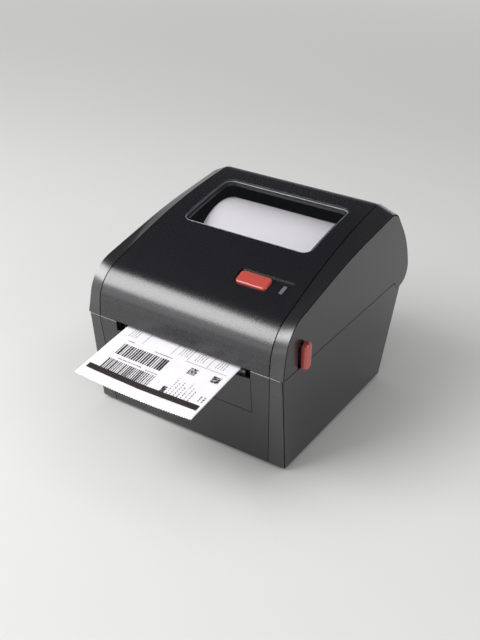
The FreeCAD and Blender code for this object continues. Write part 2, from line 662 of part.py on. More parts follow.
def base_block(inset, low, high):
    """The base as a block with leaning front and rear."""
    points = [
        (base_front(low, inset), low), (base_front(high, inset), high),
        (base_rear(high, inset), high), (base_rear(low, inset), low),
    ]
    return slice_x(points, -half_width + inset, half_width - inset)


# Roof line at the button, used by everything that sits square to the roof there.
shoulder_y = -half_depth + s.front_lean * s.shoulder_rise
roof_slope = math.atan2(s.roof_rise, -shoulder_y)
button_roof = s.shoulder_height + math.tan(roof_slope) * (s.button_place - shoulder_y)
ROOF_TILT = Rotation(X_AXIS, math.degrees(roof_slope))


def on_roof(shape, across):
    """Moves a shape drawn about its own origin onto the roof beside the button."""
    moved = shape.copy()
    moved.Placement = Placement(Vector(across, s.button_place, button_roof), ROOF_TILT)
    return moved


def window_prism(grow):
    """Upright prism with the rounded outline of the window, through the roof."""
    reach = s.window_half + grow
    box = block(-reach, reach, s.window_front - grow, s.window_rear + grow,
                s.shoulder_height, s.ridge_height + s.roof_rise)
    return box.makeFillet(s.window_corner + grow, edges_along(box, Z_AXIS))


def gear(teeth, x0, x1, y, z, bore):
    """A spur gear along X with square-shouldered teeth that stop short of the pitch line."""
    pitch = teeth * s.gear_module / 2
    tip = pitch - s.tooth_relief
    root = tip - 1.6 * s.gear_module
    step = 2 * math.pi / teeth
    points = []
    for i in range(int(teeth)):
        for radius, offset in ((root, -0.32), (tip, -0.16), (tip, 0.16), (root, 0.32)):
            angle = (i + offset) * step
            points.append((y + radius * math.cos(angle), z + radius * math.sin(angle)))
    return slice_x(points, x0, x1).cut(rod(bore, x0 - s.gear_thick, x1 + s.gear_thick, y, z))


def coil(radius, wire, turns, tall):
    """A coil of eight-sided wire standing on its own origin along Z."""
    path = Part.Wire(Part.makeHelix(tall / turns, tall, radius).Edges)
    corners = []
    for i in range(8):
        angle = (i + 0.5) * math.pi / 4
        corners.append(Vector(radius + wire * math.cos(angle), 0, wire * math.sin(angle)))
    ring = Part.Wire(Part.makePolygon(corners + corners[:1]).Edges)
    return path.makePipeShell([ring], True, True)


# Base shell: open tub with leaning walls, hinge ears, latch pins, screw bosses and a recess for the ports.
outer = base_block(0, s.foot_height, base_top)
uprights = [e for e in outer.Edges if abs(e.tangentAt(e.FirstParameter).z) > 0.8]
outer = outer.makeFillet(s.edge_round, uprights)
bottom_rim = [e for e in outer.Edges if e.BoundBox.ZMax < s.foot_height + 1e-6]
outer = outer.makeFillet(s.bottom_round, bottom_rim)
top_rim = [e for e in outer.Edges if e.BoundBox.ZMin > base_top - 1e-6]
outer = outer.makeFillet(s.rim_round, top_rim)
room = base_block(s.wall, s.foot_height - s.wall, base_top + s.wall)
port_tub = block(
    -s.port_half - s.wall, s.port_half + s.wall, s.port_face - s.wall, half_depth,
    s.port_low - s.wall, s.port_high + s.wall,
).common(base_block(0, s.foot_height, base_top))
port_room = block(-s.port_half, s.port_half, s.port_face, beyond, s.port_low, s.port_high)
barrel_space = rod(s.barrel_round + s.barrel_gap, -s.width, s.width, s.hinge_place, s.hinge_height)
gate_half = s.slot_half + s.slip_gap
gate_rear = base_front(s.insert_bottom, 2 * s.wall)
front_gate = block(-gate_half, gate_half, -beyond, gate_rear, s.insert_bottom, beyond)
shell = outer.cut(room).fuse(port_tub).cut(port_room).cut(barrel_space).cut(front_gate)
groove_top = s.seam_half + s.seam_taper * half_depth
groove_low = groove_top - s.groove_slant
w = s.groove_width / 2
groove_line = [
    Vector(groove_low - w, -beyond, s.foot_height), Vector(groove_low + w, -beyond, s.foot_height),
    Vector(groove_top + w, -beyond, base_top), Vector(groove_top - w, -beyond, base_top),
]
groove = sheet_of(groove_line, Vector(0, beyond, 0)).cut(base_block(s.groove_depth, 0, base_top + s.wall))
shell = shell.cut(both(groove))
ear_out = inner_wall - s.ear_gap
ear_in = ear_out - s.ear_thick
ear_root = s.hinge_place - s.ear_root
ear_neck = s.hinge_place - s.ear_neck
ear_low = s.parting_height - s.ear_drop
ear_points = [
    (ear_root, ear_low), (ear_neck, ear_low), (ear_neck, s.hinge_height - s.ear_round),
    (s.hinge_place, s.hinge_height - s.ear_round), (s.hinge_place, s.hinge_height + s.ear_round),
    (ear_neck, s.hinge_height + s.ear_round / 2), (ear_root, base_top - s.wall),
]
ear = slice_x(ear_points, ear_in, ear_out)
ear = ear.fuse(rod(s.ear_round, ear_in, ear_out, s.hinge_place, s.hinge_height))
ear = ear.fuse(block(ear_out, inner_wall, ear_root, ear_neck - s.slip_gap, ear_low, base_top - s.wall))
ear = ear.cut(rod(s.hinge_pin_radius + s.running_gap, 0, inner_wall, s.hinge_place, s.hinge_height))
latch_axis = (s.latch_pivot_place, s.latch_pivot_height)
latch_pin = rod(s.latch_pin_radius, inner_wall - s.latch_pin_long, inner_wall, *latch_axis)
latch_collar = rod(s.latch_eye, inner_wall - s.latch_collar, inner_wall, *latch_axis)
boss_x = inner_wall - s.boss_inset
boss_top = floor_top + s.boss_tall
boss_places = [s.boss_front - half_depth, half_depth - s.boss_rear]
extras = [ear, latch_pin, latch_collar]
for boss_y in boss_places:
    boss = post(s.boss_radius, floor_top, boss_top, boss_x, boss_y)
    extras.append(boss.cut(post(s.screw_radius + s.screw_gap, 0, boss_top - s.boss_cap, boss_x, boss_y)))
shell = fused([shell] + extras + [mirrored(piece) for piece in extras])
port_mid = (s.port_low + s.port_high) / 2
inlet_x = -s.inlet_across
inlet_z = port_mid - s.inlet_drop
socket_x = -s.socket_across
socket_low = port_mid - s.socket_drop
socket_top = socket_low + s.socket_tall
switch_x = s.switch_across
port_back = s.port_face - s.wall
face_from = port_back - s.wall
face_to = s.port_face + s.wall
hole_half = s.socket_half + s.port_gap
seat_half = s.switch_half + s.switch_gap
seat_tall = s.switch_tall / 2 + s.switch_gap
shell = shell.cut(plug(s.inlet_collar + s.port_gap, face_from, face_to, inlet_x, inlet_z))
shell = shell.cut(block(socket_x - hole_half, socket_x + hole_half, face_from, face_to,
                        socket_low - s.port_gap, socket_top + s.port_gap))
shell = shell.cut(block(switch_x - seat_half, switch_x + seat_half, face_from, face_to,
                        port_mid - seat_tall, port_mid + seat_tall))
shaped("base_shell", shell)

# Front insert: flush panel under the label opening, a flange behind the wall and a ledge for the tear bar.
insert_top = s.parting_height - s.slot_open
insert_rear = base_front(0, 2 * s.wall)
flush = base_block(0, s.foot_height, base_top).cut(room)
flush = flush.common(block(-s.slot_half, s.slot_half, -beyond, insert_rear,
                           s.insert_bottom + s.slip_gap, insert_top))
flange = base_block(s.wall, 0, base_top).cut(base_block(s.wall + s.flange_thick, -s.wall, base_top + s.wall))
flange_reach = gate_half + s.insert_flange
flange = flange.common(block(-flange_reach, flange_reach, -beyond, insert_rear + s.flange_thick,
                             s.insert_bottom - s.insert_flange, insert_top - s.flange_stop))
bar_front = -half_depth + s.bar_back
bar_rear = bar_front + s.bar_deep
bar_half = s.slot_half - s.bar_end
bar_seat = s.parting_height - s.bar_drop
ledge = block(-bar_half, bar_half, bar_front, bar_rear, insert_top - s.ledge_tall, bar_seat)
shaped("front_insert", fused([flush, flange, ledge]))

# Tear bar: toothed steel strip on the ledge of the insert.
bar = block(-bar_half, bar_half, bar_front, bar_rear, bar_seat, bar_seat + s.bar_thick)
tooth_count = int(2 * bar_half / s.tooth_step) - 1
gaps = []
for i in range(tooth_count):
    x = (i - (tooth_count - 1) / 2) * s.tooth_step
    corners = [
        Vector(x - s.tooth_half, bar_front - s.tooth_half / 7, bar_seat - s.bar_thick),
        Vector(x + s.tooth_half, bar_front - s.tooth_half / 7, bar_seat - s.bar_thick),
        Vector(x, bar_front + s.tooth_deep, bar_seat - s.bar_thick),
    ]
    gaps.append(sheet_of(corners, Vector(0, 0, 3 * s.bar_thick)))
shaped("tear_bar", bar.cut(Part.makeCompound(gaps)))

# Bottom plate with its screws and feet.
plate = base_block(s.wall + s.slip_gap, s.foot_height, floor_top)
screws = []
head_top = s.foot_height + s.screw_sink
for sign in (-1, 1):
    for y in boss_places:
        x = sign * boss_x
        plate = plate.cut(post(s.screw_radius + s.screw_clear, 0, boss_top, x, y))
        plate = plate.cut(post(s.screw_head + s.screw_clear, 0, head_top, x, y))
        head = post(s.screw_head, s.foot_height, head_top, x, y)
        screws.append(fused([head, post(s.screw_radius, head_top, floor_top + s.screw_long, x, y)]))
shaped("bottom_plate", plate)
shaped("bottom_screws", Part.makeCompound(screws))
feet = []
for x in (s.foot_side - half_width, half_width - s.foot_side):
    for y in (s.foot_front - half_depth, half_depth - s.foot_rear):
        foot = post(s.foot_radius, 0, s.foot_height, x, y)
        rims = [e for e in foot.Edges if abs(e.BoundBox.ZMax) < 1e-6 and e.Closed]
        feet.append(foot.makeFillet(s.foot_rim, rims))
shaped("rubber_feet", Part.makeCompound(feet))

# Media tray: deck and round trough under the roll.
under_deck = s.deck_height - s.tray_thick
outer_radius = s.trough_radius + s.tray_thick
tray_back = s.tray_rear - s.roll_place
tray_low = s.roll_height - s.trough_radius
tray_under = tray_low - s.tray_thick
deck_end = s.roll_place - math.sqrt(s.trough_radius ** 2 - (s.roll_height - s.deck_height) ** 2)
under_end = s.roll_place - math.sqrt(outer_radius ** 2 - (s.roll_height - under_deck) ** 2)
rear_upper = s.roll_height - math.sqrt(s.trough_radius ** 2 - tray_back ** 2)
rear_lower = s.roll_height - math.sqrt(outer_radius ** 2 - tray_back ** 2)


def at(y, z):
    """A point on the left-hand end of the tray outline."""
    return Vector(-inner_wall, y, z)


tray_edges = [
    Part.LineSegment(at(s.deck_front, s.deck_height), at(deck_end, s.deck_height)).toShape(),
    Part.Arc(at(deck_end, s.deck_height), at(s.roll_place, tray_low), at(s.tray_rear, rear_upper)).toShape(),
    Part.LineSegment(at(s.tray_rear, rear_upper), at(s.tray_rear, rear_lower)).toShape(),
    Part.Arc(at(s.tray_rear, rear_lower), at(s.roll_place, tray_under), at(under_end, under_deck)).toShape(),
    Part.LineSegment(at(under_end, under_deck), at(s.deck_front, under_deck)).toShape(),
    Part.LineSegment(at(s.deck_front, under_deck), at(s.deck_front, s.deck_height)).toShape(),
]
tray = Part.Face(Part.Wire(tray_edges)).extrude(Vector(2 * inner_wall, 0, 0))
half_label = s.label_width / 2
holder_in = half_label + s.holder_gap
holder_out = holder_in + s.holder_thick
leg_slot = block(holder_in - s.slot_spare, holder_out + s.holder_travel + s.slot_spare,
                 s.roll_place - s.leg_half - s.leg_gap, s.roll_place + s.leg_half + s.leg_gap,
                 0, s.deck_height)
tray = tray.cut(both(leg_slot))
pinion_low = tray_under - s.pinion_drop
tray = tray.fuse(post(s.pinion_post, pinion_low, tray_under + s.tray_thick / 2, 0, s.roll_place))
shaped("media_tray", tray)

# Roll holders: arm, hub in the core, leg through the tray and a toothed rack below it.
arm_foot = tray_low + s.holder_clear
arm_points = [
    (s.roll_place - s.holder_foot, arm_foot), (s.roll_place + s.holder_foot, arm_foot),
    (s.roll_place + s.holder_waist, s.roll_height), (s.roll_place - s.holder_waist, s.roll_height),
]
arm = slice_x(arm_points, holder_in, holder_out)
arm = arm.fuse(rod(s.holder_foot, holder_in, holder_out, s.roll_place, s.roll_height))
hub = rod(s.core_bore - s.hub_gap, holder_in - s.hub_long, holder_in, s.roll_place, s.roll_height)
hub_rim = [e for e in hub.Edges if e.Closed and e.BoundBox.XMax < holder_in - s.hub_long / 2]
hub = hub.makeChamfer(s.hub_lead, hub_rim)
leg = block(holder_in, holder_out, s.roll_place - s.leg_half, s.roll_place + s.leg_half,
            pinion_low, arm_foot + s.leg_half)
rack_near = s.rack_pitch_radius + s.rack_gap
rack_far = rack_near + s.rack_deep
rack_step = 2 * math.pi * s.rack_pitch_radius / 10
rack_top = pinion_low + s.rack_tall


def rack_bar(sign):
    """Rack of a right-hand holder, behind the pinion for sign 1 and in front of it for -1."""
    ends = sorted((s.roll_place + sign * rack_near, s.roll_place + sign * rack_far))
    bar = block(-s.rack_over, holder_out, ends[0], ends[1], pinion_low, rack_top)
    cuts = []
    for i in range(int((s.rack_over + holder_in) / rack_step) - 1):
        x = -s.rack_over + s.rack_deep + i * rack_step
        near = s.roll_place + sign * (rack_near - s.rack_cut / 10)
        corners = [
            Vector(x - s.rack_tooth, near, pinion_low - s.rack_cut),
            Vector(x + s.rack_tooth, near, pinion_low - s.rack_cut),
            Vector(x, s.roll_place + sign * (rack_near + s.rack_cut), pinion_low - s.rack_cut),
        ]
        cuts.append(sheet_of(corners, Vector(0, 0, s.rack_tall + 2 * s.rack_cut)))
    ends = sorted((s.roll_place, s.roll_place + sign * rack_far))
    link = block(holder_in, holder_out, ends[0], ends[1], pinion_low, rack_top)
    return bar.cut(Part.makeCompound(cuts)).fuse(link)


right_holder = fused([arm, hub, leg, rack_bar(1)])
left_holder = mirrored(fused([arm, hub, leg, rack_bar(-1)]))
shaped("roll_holder_right", right_holder)
shaped("roll_holder_left", left_holder)
spur = gear(10, 0, s.rack_tall, 0, 0, s.pinion_post + s.running_gap)
spur.Placement = Placement(Vector(0, s.roll_place, rack_top), Rotation(Y_AXIS, 90))
shaped("holder_pinion", spur)

# Label roll on its core, and the strip that runs over the platen and out of the opening.
roll_from = ("-Sizes.label_width / 2", "Sizes.roll_place", "Sizes.roll_height")
tube("label_roll", "Sizes.roll_radius", "Sizes.core_radius", "Sizes.label_width", *roll_from)
tube("roll_core", "Sizes.core_radius", "Sizes.core_bore", "Sizes.label_width", *roll_from)
strip_z = s.platen_height + s.platen_radius + s.strip_gap
guide = (s.platen_place + s.strip_lead, strip_z)
wrap = s.roll_radius + s.strip_off
reach = math.hypot(s.roll_place - guide[0], s.roll_height - guide[1])
toward = math.atan2(s.roll_height - guide[1], s.roll_place - guide[0])
fall = toward - math.asin(wrap / reach)
run = math.sqrt(reach ** 2 - wrap ** 2)
leave = (guide[0] + run * math.cos(fall), guide[1] + run * math.sin(fall))
exit_y = -half_depth + s.strip_level


def strip_skin(offset):
    """One face of the strip as connected edges seen from the side, from the roll to the tip."""
    z = strip_z + offset
    a = Vector(0, leave[0] - math.sin(fall) * offset, leave[1] + math.cos(fall) * offset)
    rise = s.strip_bend * math.tan(fall) + offset / math.cos(fall)
    b = Vector(0, guide[0] + s.strip_bend, guide[1] + rise)
    c = Vector(0, guide[0] - s.strip_bend, z)
    d = Vector(0, exit_y, z)
    e = Vector(0, strip_tip, z - s.label_drop)
    bend = Part.BezierCurve()
    bend.setPoles([b, Vector(0, guide[0], z), c])
    droop = Part.BezierCurve()
    first_pole = Vector(0, exit_y - 0.4 * s.label_reach, z)
    second_pole = Vector(0, (exit_y + strip_tip) / 2, z - 0.33 * s.label_drop)
    droop.setPoles([d, first_pole, second_pole, e])
    curves = [Part.LineSegment(a, b), bend, Part.LineSegment(c, d), droop]
    return [curve.toShape() for curve in curves]


upper = strip_skin(s.label_thick)
lower = strip_skin(0.0)
tip_edge = Part.LineSegment(upper[-1].Vertexes[-1].Point, lower[-1].Vertexes[-1].Point).toShape()
root_edge = Part.LineSegment(upper[0].Vertexes[0].Point, lower[0].Vertexes[0].Point).toShape()
strip_face = Part.Face(Part.Wire(Part.__sortEdges__(upper + lower + [tip_edge, root_edge])))
strip = strip_face.extrude(Vector(s.label_width, 0, 0)).translated(Vector(-half_label, 0, 0))
shaped("label_strip", strip)

# Drive plates, platen, gears and motor.
fall_angle = math.radians(s.train_fall)
idler_step = (s.platen_teeth + s.idler_teeth) * s.gear_module / 2
pinion_step = (s.idler_teeth + s.pinion_teeth) * s.gear_module / 2
train = (math.cos(fall_angle), -math.sin(fall_angle))
platen_at = (s.platen_place, s.platen_height)
idler_at = (platen_at[0] + idler_step * train[0], platen_at[1] + idler_step * train[1])
motor_at = (idler_at[0] + pinion_step * train[0], idler_at[1] + pinion_step * train[1])
plate_in = s.plate_half
plate_out = s.plate_half + s.plate_thick
motor_half = s.motor_square / 2
motor_rear = motor_at[0] + motor_half
motor_top = motor_at[1] + motor_half
plate_front = base_front(s.insert_bottom - s.insert_flange, s.wall + s.flange_thick) + s.slip_gap
plate_rear = s.platen_place + s.plate_rear
plate_high = s.platen_height + s.plate_top
plate_foot = base_front(floor_top, s.wall) + s.slip_gap + s.plate_foot
front_points = [(plate_rear, plate_high), (plate_front, plate_high), (plate_front, s.insert_bottom),
                (plate_foot, floor_top)]
right_points = front_points + [(plate_rear, floor_top)]
left_points = front_points + [(motor_rear, floor_top), (motor_rear, motor_top), (plate_rear, motor_top)]
bush_hole = rod(s.bush_radius + s.bush_gap, -s.width, s.width, *platen_at)
left_plate = slice_x(left_points, -plate_out, -plate_in).cut(bush_hole)
left_plate = left_plate.cut(rod(s.motor_boss, -s.width, 0, *motor_at))
left_plate = left_plate.cut(rod(s.idler_radius, -s.width, 0, *idler_at))
shaped("drive_plate_left", left_plate)
shaped("drive_plate_right", slice_x(right_points, plate_in, plate_out).cut(bush_hole))
bush = rod(s.bush_radius, plate_in - s.bush_over, plate_out + s.bush_over, *platen_at)
bush = bush.cut(rod(s.shaft_radius + s.running_gap, 0, s.width, *platen_at))
shaped("platen_bushes", both(bush))
gear_out = -(plate_out + s.gear_side)
gear_far = gear_out - s.gear_thick
gear_side_text = "Sizes.plate_half + Sizes.plate_thick + Sizes.gear_side + Sizes.gear_thick + Sizes.shaft_end"
plate_side_text = "Sizes.plate_half + Sizes.plate_thick + Sizes.bush_over + Sizes.shaft_end"
platen_shaft = drum("platen_shaft", "Sizes.shaft_radius", "%s + %s" % (gear_side_text, plate_side_text),
                    "-(%s)" % gear_side_text, "Sizes.platen_place", "Sizes.platen_height")
keep(platen_shaft)
tube("platen_rubber", "Sizes.platen_radius", "Sizes.shaft_radius", "2 * Sizes.platen_half",
     "-Sizes.platen_half", "Sizes.platen_place", "Sizes.platen_height")
shaped("platen_gear", gear(s.platen_teeth, gear_far, gear_out, *platen_at, s.shaft_radius))
shaped("idler_gear", gear(s.idler_teeth, gear_far, gear_out, *idler_at, s.idler_radius + s.running_gap))
far_collar = rod(s.idler_collar, gear_far - s.shaft_end - s.slip_gap, gear_far - s.slip_gap, *idler_at)
near_collar = rod(s.idler_collar, gear_out + s.slip_gap, -plate_out, *idler_at)
idler_rod = rod(s.idler_radius, gear_far - s.slip_gap, -plate_in, *idler_at)
shaped("idler_post", fused([idler_rod, far_collar, near_collar]))
shaped("motor_pinion", gear(s.pinion_teeth, gear_far, gear_out, *motor_at, s.motor_shaft_radius))
shaft_in = s.plate_thick
shaped("motor_shaft", rod(s.motor_shaft_radius, gear_far - s.shaft_end, -plate_in + shaft_in, *motor_at))
can = block(-plate_in, -plate_in + s.motor_long, motor_at[0] - motor_half, motor_rear,
            motor_at[1] - motor_half, motor_top)
can = can.makeChamfer(s.motor_chamfer, edges_along(can, X_AXIS))
can = can.cut(rod(s.motor_shaft_radius + s.running_gap, -plate_out, -plate_in + 2 * shaft_in, *motor_at))
shaped("drive_motor", can)

# Gap sensor on the deck, main board and its sockets.
slab_body("gap_sensor", "Sizes.sensor_long", "Sizes.sensor_deep", "Sizes.sensor_tall", "0",
          "Sizes.deck_front + Sizes.sensor_lead", "Sizes.deck_height")
board_z = floor_top + s.board_rise
slab_body("main_board", "Sizes.board_long", "Sizes.board_deep", "Sizes.board_thick", "0",
          "Sizes.port_face - Sizes.wall - Sizes.board_gap - Sizes.board_deep / 2",
          "Sizes.floor_top + Sizes.board_rise",
          ("Sizes.board_hole", "Sizes.board_long / 2 - Sizes.board_edge",
           "Sizes.board_deep / 2 - Sizes.board_edge"))
standoffs = []
board_y = port_back - s.board_gap - s.board_deep / 2
for x in (-1, 1):
    for y in (-1, 1):
        px = x * (s.board_long / 2 - s.board_edge)
        py = board_y + y * (s.board_deep / 2 - s.board_edge)
        pillar = post(s.standoff_radius, floor_top, board_z, px, py)
        standoffs.append(fused([pillar, post(s.standoff_pin, board_z, board_z + s.standoff_over, px, py)]))
shaped("board_standoffs", Part.makeCompound(standoffs))
board_top = board_z + s.board_thick
inlet_back = port_back - s.inlet_long
bore_end = inlet_back + s.wall + s.port_gap
jack = block(inlet_x - s.inlet_half, inlet_x + s.inlet_half, inlet_back, port_back,
             board_top, inlet_z + s.inlet_half)
jack = jack.fuse(plug(s.inlet_collar, port_back, s.port_face - s.port_gap, inlet_x, inlet_z))
jack = jack.cut(plug(s.inlet_bore, bore_end, face_to, inlet_x, inlet_z))
jack = jack.fuse(plug(s.inlet_pin, bore_end - s.port_gap, port_back, inlet_x, inlet_z))
shaped("power_inlet", jack.removeSplitter())
socket_back = port_back - s.socket_long
socket_end = s.port_face - s.port_gap
sides = (socket_x - s.socket_half, socket_x + s.socket_half)
hollow = (sides[0] + s.socket_shell, sides[1] - s.socket_shell)
tongue_low = (socket_low + socket_top - s.tongue_tall) / 2
hollow_back = socket_back + 2 * s.wall
usb = block(*sides, socket_back, port_back - s.port_gap, board_top, socket_top)
usb = usb.fuse(block(*sides, socket_back, socket_end, socket_low, socket_top))
usb = usb.cut(block(*hollow, hollow_back, face_to, socket_low + s.socket_shell, socket_top - s.socket_shell))
usb = usb.fuse(block(socket_x - s.tongue_half, socket_x + s.tongue_half, hollow_back - s.port_gap,
                     port_back + s.port_gap, tongue_low, tongue_low + s.tongue_tall))
shaped("data_socket", usb.removeSplitter())

# Power switch: housing clipped in the port face, rocker on a cross pin.
half_tall = s.switch_tall / 2
lip_half = s.switch_half + s.switch_lip
lip_tall = half_tall + s.switch_lip
room_half = s.switch_half - s.switch_wall
room_tall = half_tall - s.switch_wall
rocker_axis = s.port_face - s.rocker_sink
rocker_tall = room_tall - s.rocker_gap
housing = block(switch_x - s.switch_half, switch_x + s.switch_half, s.port_face - s.switch_long, s.port_face,
                port_mid - half_tall, port_mid + half_tall)
lip = block(switch_x - lip_half, switch_x + lip_half, s.port_face, s.port_face + s.switch_proud,
            port_mid - lip_tall, port_mid + lip_tall)
housing = housing.fuse(lip)
housing = housing.cut(block(switch_x - room_half, switch_x + room_half, s.port_face - s.switch_floor, beyond,
                            port_mid - room_tall, port_mid + room_tall))
pin_from = rocker_tall + s.rocker_gap / 3
for ends in ((pin_from, half_tall), (-half_tall, -pin_from)):
    housing = housing.fuse(post(s.rocker_pin, port_mid + ends[0], port_mid + ends[1], switch_x, rocker_axis))
shaped("switch_housing", housing.removeSplitter())
profile = [
    (-s.rocker_half, s.rocker_side), (-s.rocker_flat, -s.rocker_back), (s.rocker_flat, -s.rocker_back),
    (s.rocker_half, s.rocker_side), (s.rocker_edge, s.rocker_high), (0, s.rocker_mid),
    (-s.rocker_edge, s.rocker_low),
]
wave = [Vector(switch_x + x, rocker_axis + y, port_mid - rocker_tall) for x, y in profile]
shaped("switch_rocker", sheet_of(wave, Vector(0, 0, 2 * rocker_tall)))

# Latches: lever on a pin in the base, neck through a notch of the cover, tab outside.
swing = math.radians(s.latch_swing)
lever_out = inner_wall - s.latch_collar - s.slip_gap / 2
lever_in = lever_out - s.lever_thick
neck_front = s.latch_place + s.neck_back - s.neck_half
neck_rear = neck_front + 2 * s.neck_half
neck_rise = base_top + s.slip_gap - s.latch_pivot_height + (s.latch_pivot_place - neck_front) * math.sin(swing)
neck_low = s.latch_pivot_height + neck_rise / math.cos(swing)
neck_high = s.latch_top - s.neck_stop
lever_points = [
    (s.latch_pivot_place - s.latch_eye, s.latch_pivot_height),
    (s.latch_pivot_place + s.latch_eye, s.latch_pivot_height),
    (s.latch_place + s.hook_half, neck_high - s.hook_tall),
    (s.latch_place + s.hook_back, neck_high - s.hook_tall / 2),
    (s.latch_place + s.hook_half, neck_high + s.hook_tall),
    (s.latch_place - s.hook_half, neck_high + s.hook_tall),
]
lever = slice_x(lever_points, lever_in, lever_out)
lever = lever.fuse(rod(s.latch_eye, lever_in, lever_out, *latch_axis))
tab_in = half_width + s.latch_gap
tab_out = tab_in + s.latch_out
neck = block(lever_in, tab_in + s.latch_out / 4, neck_front, neck_rear, neck_low, neck_high)
tab_half = s.latch_wide / 2
tab = block(tab_in, tab_out, s.latch_place - tab_half, s.latch_place + tab_half, s.latch_bottom, s.latch_top)
tab = tab.makeFillet(0.99 * tab_half, edges_along(tab, X_AXIS))
face_rim = [e for e in tab.Edges if e.BoundBox.XMin > tab_out - 1e-6]
tab = tab.makeFillet(s.latch_edge, face_rim)
lever = fused([lever, neck, tab])
lever = lever.cut(rod(s.latch_pin_radius + s.running_gap, 0, inner_wall, *latch_axis))
shaped("latch_lever_right", lever)
shaped("latch_lever_left", mirrored(lever))
coil_radius = s.latch_pin_radius + s.coil_gap + s.coil_wire
rings = []
for i in range(3):
    ring_x = lever_in - s.coil_gap - (2 * i + 1) * s.coil_wire
    rings.append(Part.makeTorus(coil_radius, s.coil_wire, Vector(ring_x, *latch_axis), X_AXIS))
shaped("latch_springs", both(Part.makeCompound(rings)))

# Cover frame: cheeks, sides, rear and the bed of the top panel in one moulding.
bed_inset = s.panel_thick + s.panel_bed
deep_inset = bed_inset + s.panel_backing
cover_inner = cover_block(deep_inset, s.wall, s.wall, cover_bottom - s.wall / 2)
frame = cover_block(0, 0, 0, cover_bottom).cut(cover_inner)
skin_low = cover_bottom - s.wall / 2
skin_space = panel_block(-s.panel_thick / 2, skin_low, 0)
skin_space = skin_space.cut(panel_block(bed_inset, skin_low - s.wall / 2, s.wall))
skin_space = skin_space.common(block(-beyond, beyond, -beyond, s.panel_rear, 0, beyond))
skin_space = skin_space.makeFillet(s.panel_corner + s.seam_gap, rear_corners(skin_space, s.panel_rear))
frame = frame.cut(skin_space)
frame = frame.cut(window_prism(-s.window_ledge))
slot_in = ear_in - s.web_gap
web_in = slot_in - s.web_thick
web = rod(s.barrel_round - s.wall / 2, web_in, slot_in, s.hinge_place, s.hinge_height)
web = web.cut(rod(s.hinge_pin_radius, 0, half_width, s.hinge_place, s.hinge_height))
frame = fused([frame, web, mirrored(web)])
ear_room = block(slot_in, inner_wall + s.running_gap,
                 ear_root - s.ear_round, s.hinge_place + s.ear_round + s.wall,
                 s.hinge_height - s.ear_drop, s.hinge_height - s.slip_gap)
notch_reach = math.tan(swing) * (neck_high - s.latch_pivot_height)
notch = block(lever_in - s.slip_gap, beyond, neck_front - s.latch_gap - notch_reach, neck_rear + s.latch_gap,
              0, neck_high + s.latch_gap)
frame = frame.cut(both(ear_room)).cut(both(notch))


def roof_hole(wide, deep, corner, gap, across):
    """An opening square to the roof with rounded corners."""
    x = wide / 2 + gap
    y = deep / 2 + gap
    hole = block(-x, x, -y, y, -s.roof_rise / 2, s.roof_rise / 2)
    return on_roof(hole.makeFillet(corner + gap, edges_along(hole, Z_AXIS)), across)


button_hole = roof_hole(s.button_long, s.button_deep, s.button_corner, s.button_gap, s.button_across)
light_hole = roof_hole(s.light_wide, s.light_long, s.light_corner, s.light_gap, s.light_across)
shaped("cover_frame", frame.cut(button_hole).cut(light_hole))
hinge_pin = rod(s.hinge_pin_radius, web_in, ear_out - s.slip_gap, s.hinge_place, s.hinge_height)
shaped("hinge_pins", both(hinge_pin))

# Top panel, window and light pipe.
skin_inside = panel_block(s.panel_thick, skin_low, s.wall)
skin = panel_block(0, cover_bottom, -s.seam_gap).cut(skin_inside)
skin_rear = s.panel_rear - s.seam_gap
skin = skin.common(block(-beyond, beyond, -beyond, skin_rear, 0, beyond))
skin = skin.makeFillet(s.panel_corner, rear_corners(skin, skin_rear))
skin = skin.cut(window_prism(0)).cut(button_hole).cut(light_hole)
dish_from = -s.button_deep / 2 - s.dish_front
dish_to = s.button_deep / 2 + s.dish_back
dish_side = [(dish_from, 0), (dish_to, -s.dish_depth), (dish_to, s.roof_rise), (dish_from, s.roof_rise)]
lamp_x = s.light_across - s.button_across
dish = slice_x(dish_side, -s.button_long / 2 - s.dish_left, lamp_x + s.light_wide / 2 + s.dish_right)
shaped("top_panel", skin.cut(on_roof(dish, s.button_across)))
lens = panel_block(s.window_sink, cover_bottom, -s.seam_gap).cut(skin_inside)
shaped("window", lens.common(window_prism(-s.window_gap)))
light = block(-s.light_wide / 2, s.light_wide / 2, -s.light_long / 2, s.light_long / 2,
              -s.light_low, s.light_proud + s.light_low)
light = light.makeFillet(s.light_corner, edges_along(light, Z_AXIS))
shaped("light_pipe", on_roof(light.cut(dish.translated(Vector(-lamp_x, 0, s.light_proud))), s.light_across))

# Feed button and the small board below it.
cap = block(-s.button_long / 2, s.button_long / 2, -s.button_deep / 2, s.button_deep / 2,
            -s.button_skirt, s.button_proud)
cap = cap.makeFillet(s.button_corner, edges_along(cap, Z_AXIS))
cap_rim = [e for e in cap.Edges if e.BoundBox.ZMin > s.button_proud - 1e-6]
cap = cap.makeFillet(s.button_edge, cap_rim)
stem = block(-s.stem_half, s.stem_half, -s.stem_half, s.stem_half, -s.stem_low, s.button_edge - s.button_skirt)
shaped("feed_button", on_roof(fused([cap, stem]), s.button_across))
switch_top = -s.stem_low - s.button_travel - s.key_gap
key_face = switch_top - s.key_tall
lamp_half = s.lamp_wide / 2
key_board = block(-s.key_left, lamp_x + s.key_right, -s.key_deep / 2, s.key_deep / 2,
                  key_face - s.board_thick, key_face)
key_switch = block(-s.key_half, s.key_half, -s.key_half, s.key_half, key_face, switch_top)
lamp = block(lamp_x - lamp_half, lamp_x + lamp_half, -s.lamp_deep / 2, s.lamp_deep / 2,
             key_face, key_face + s.lamp_tall)
shaped("key_board", on_roof(fused([key_board, key_switch, lamp]), s.button_across))

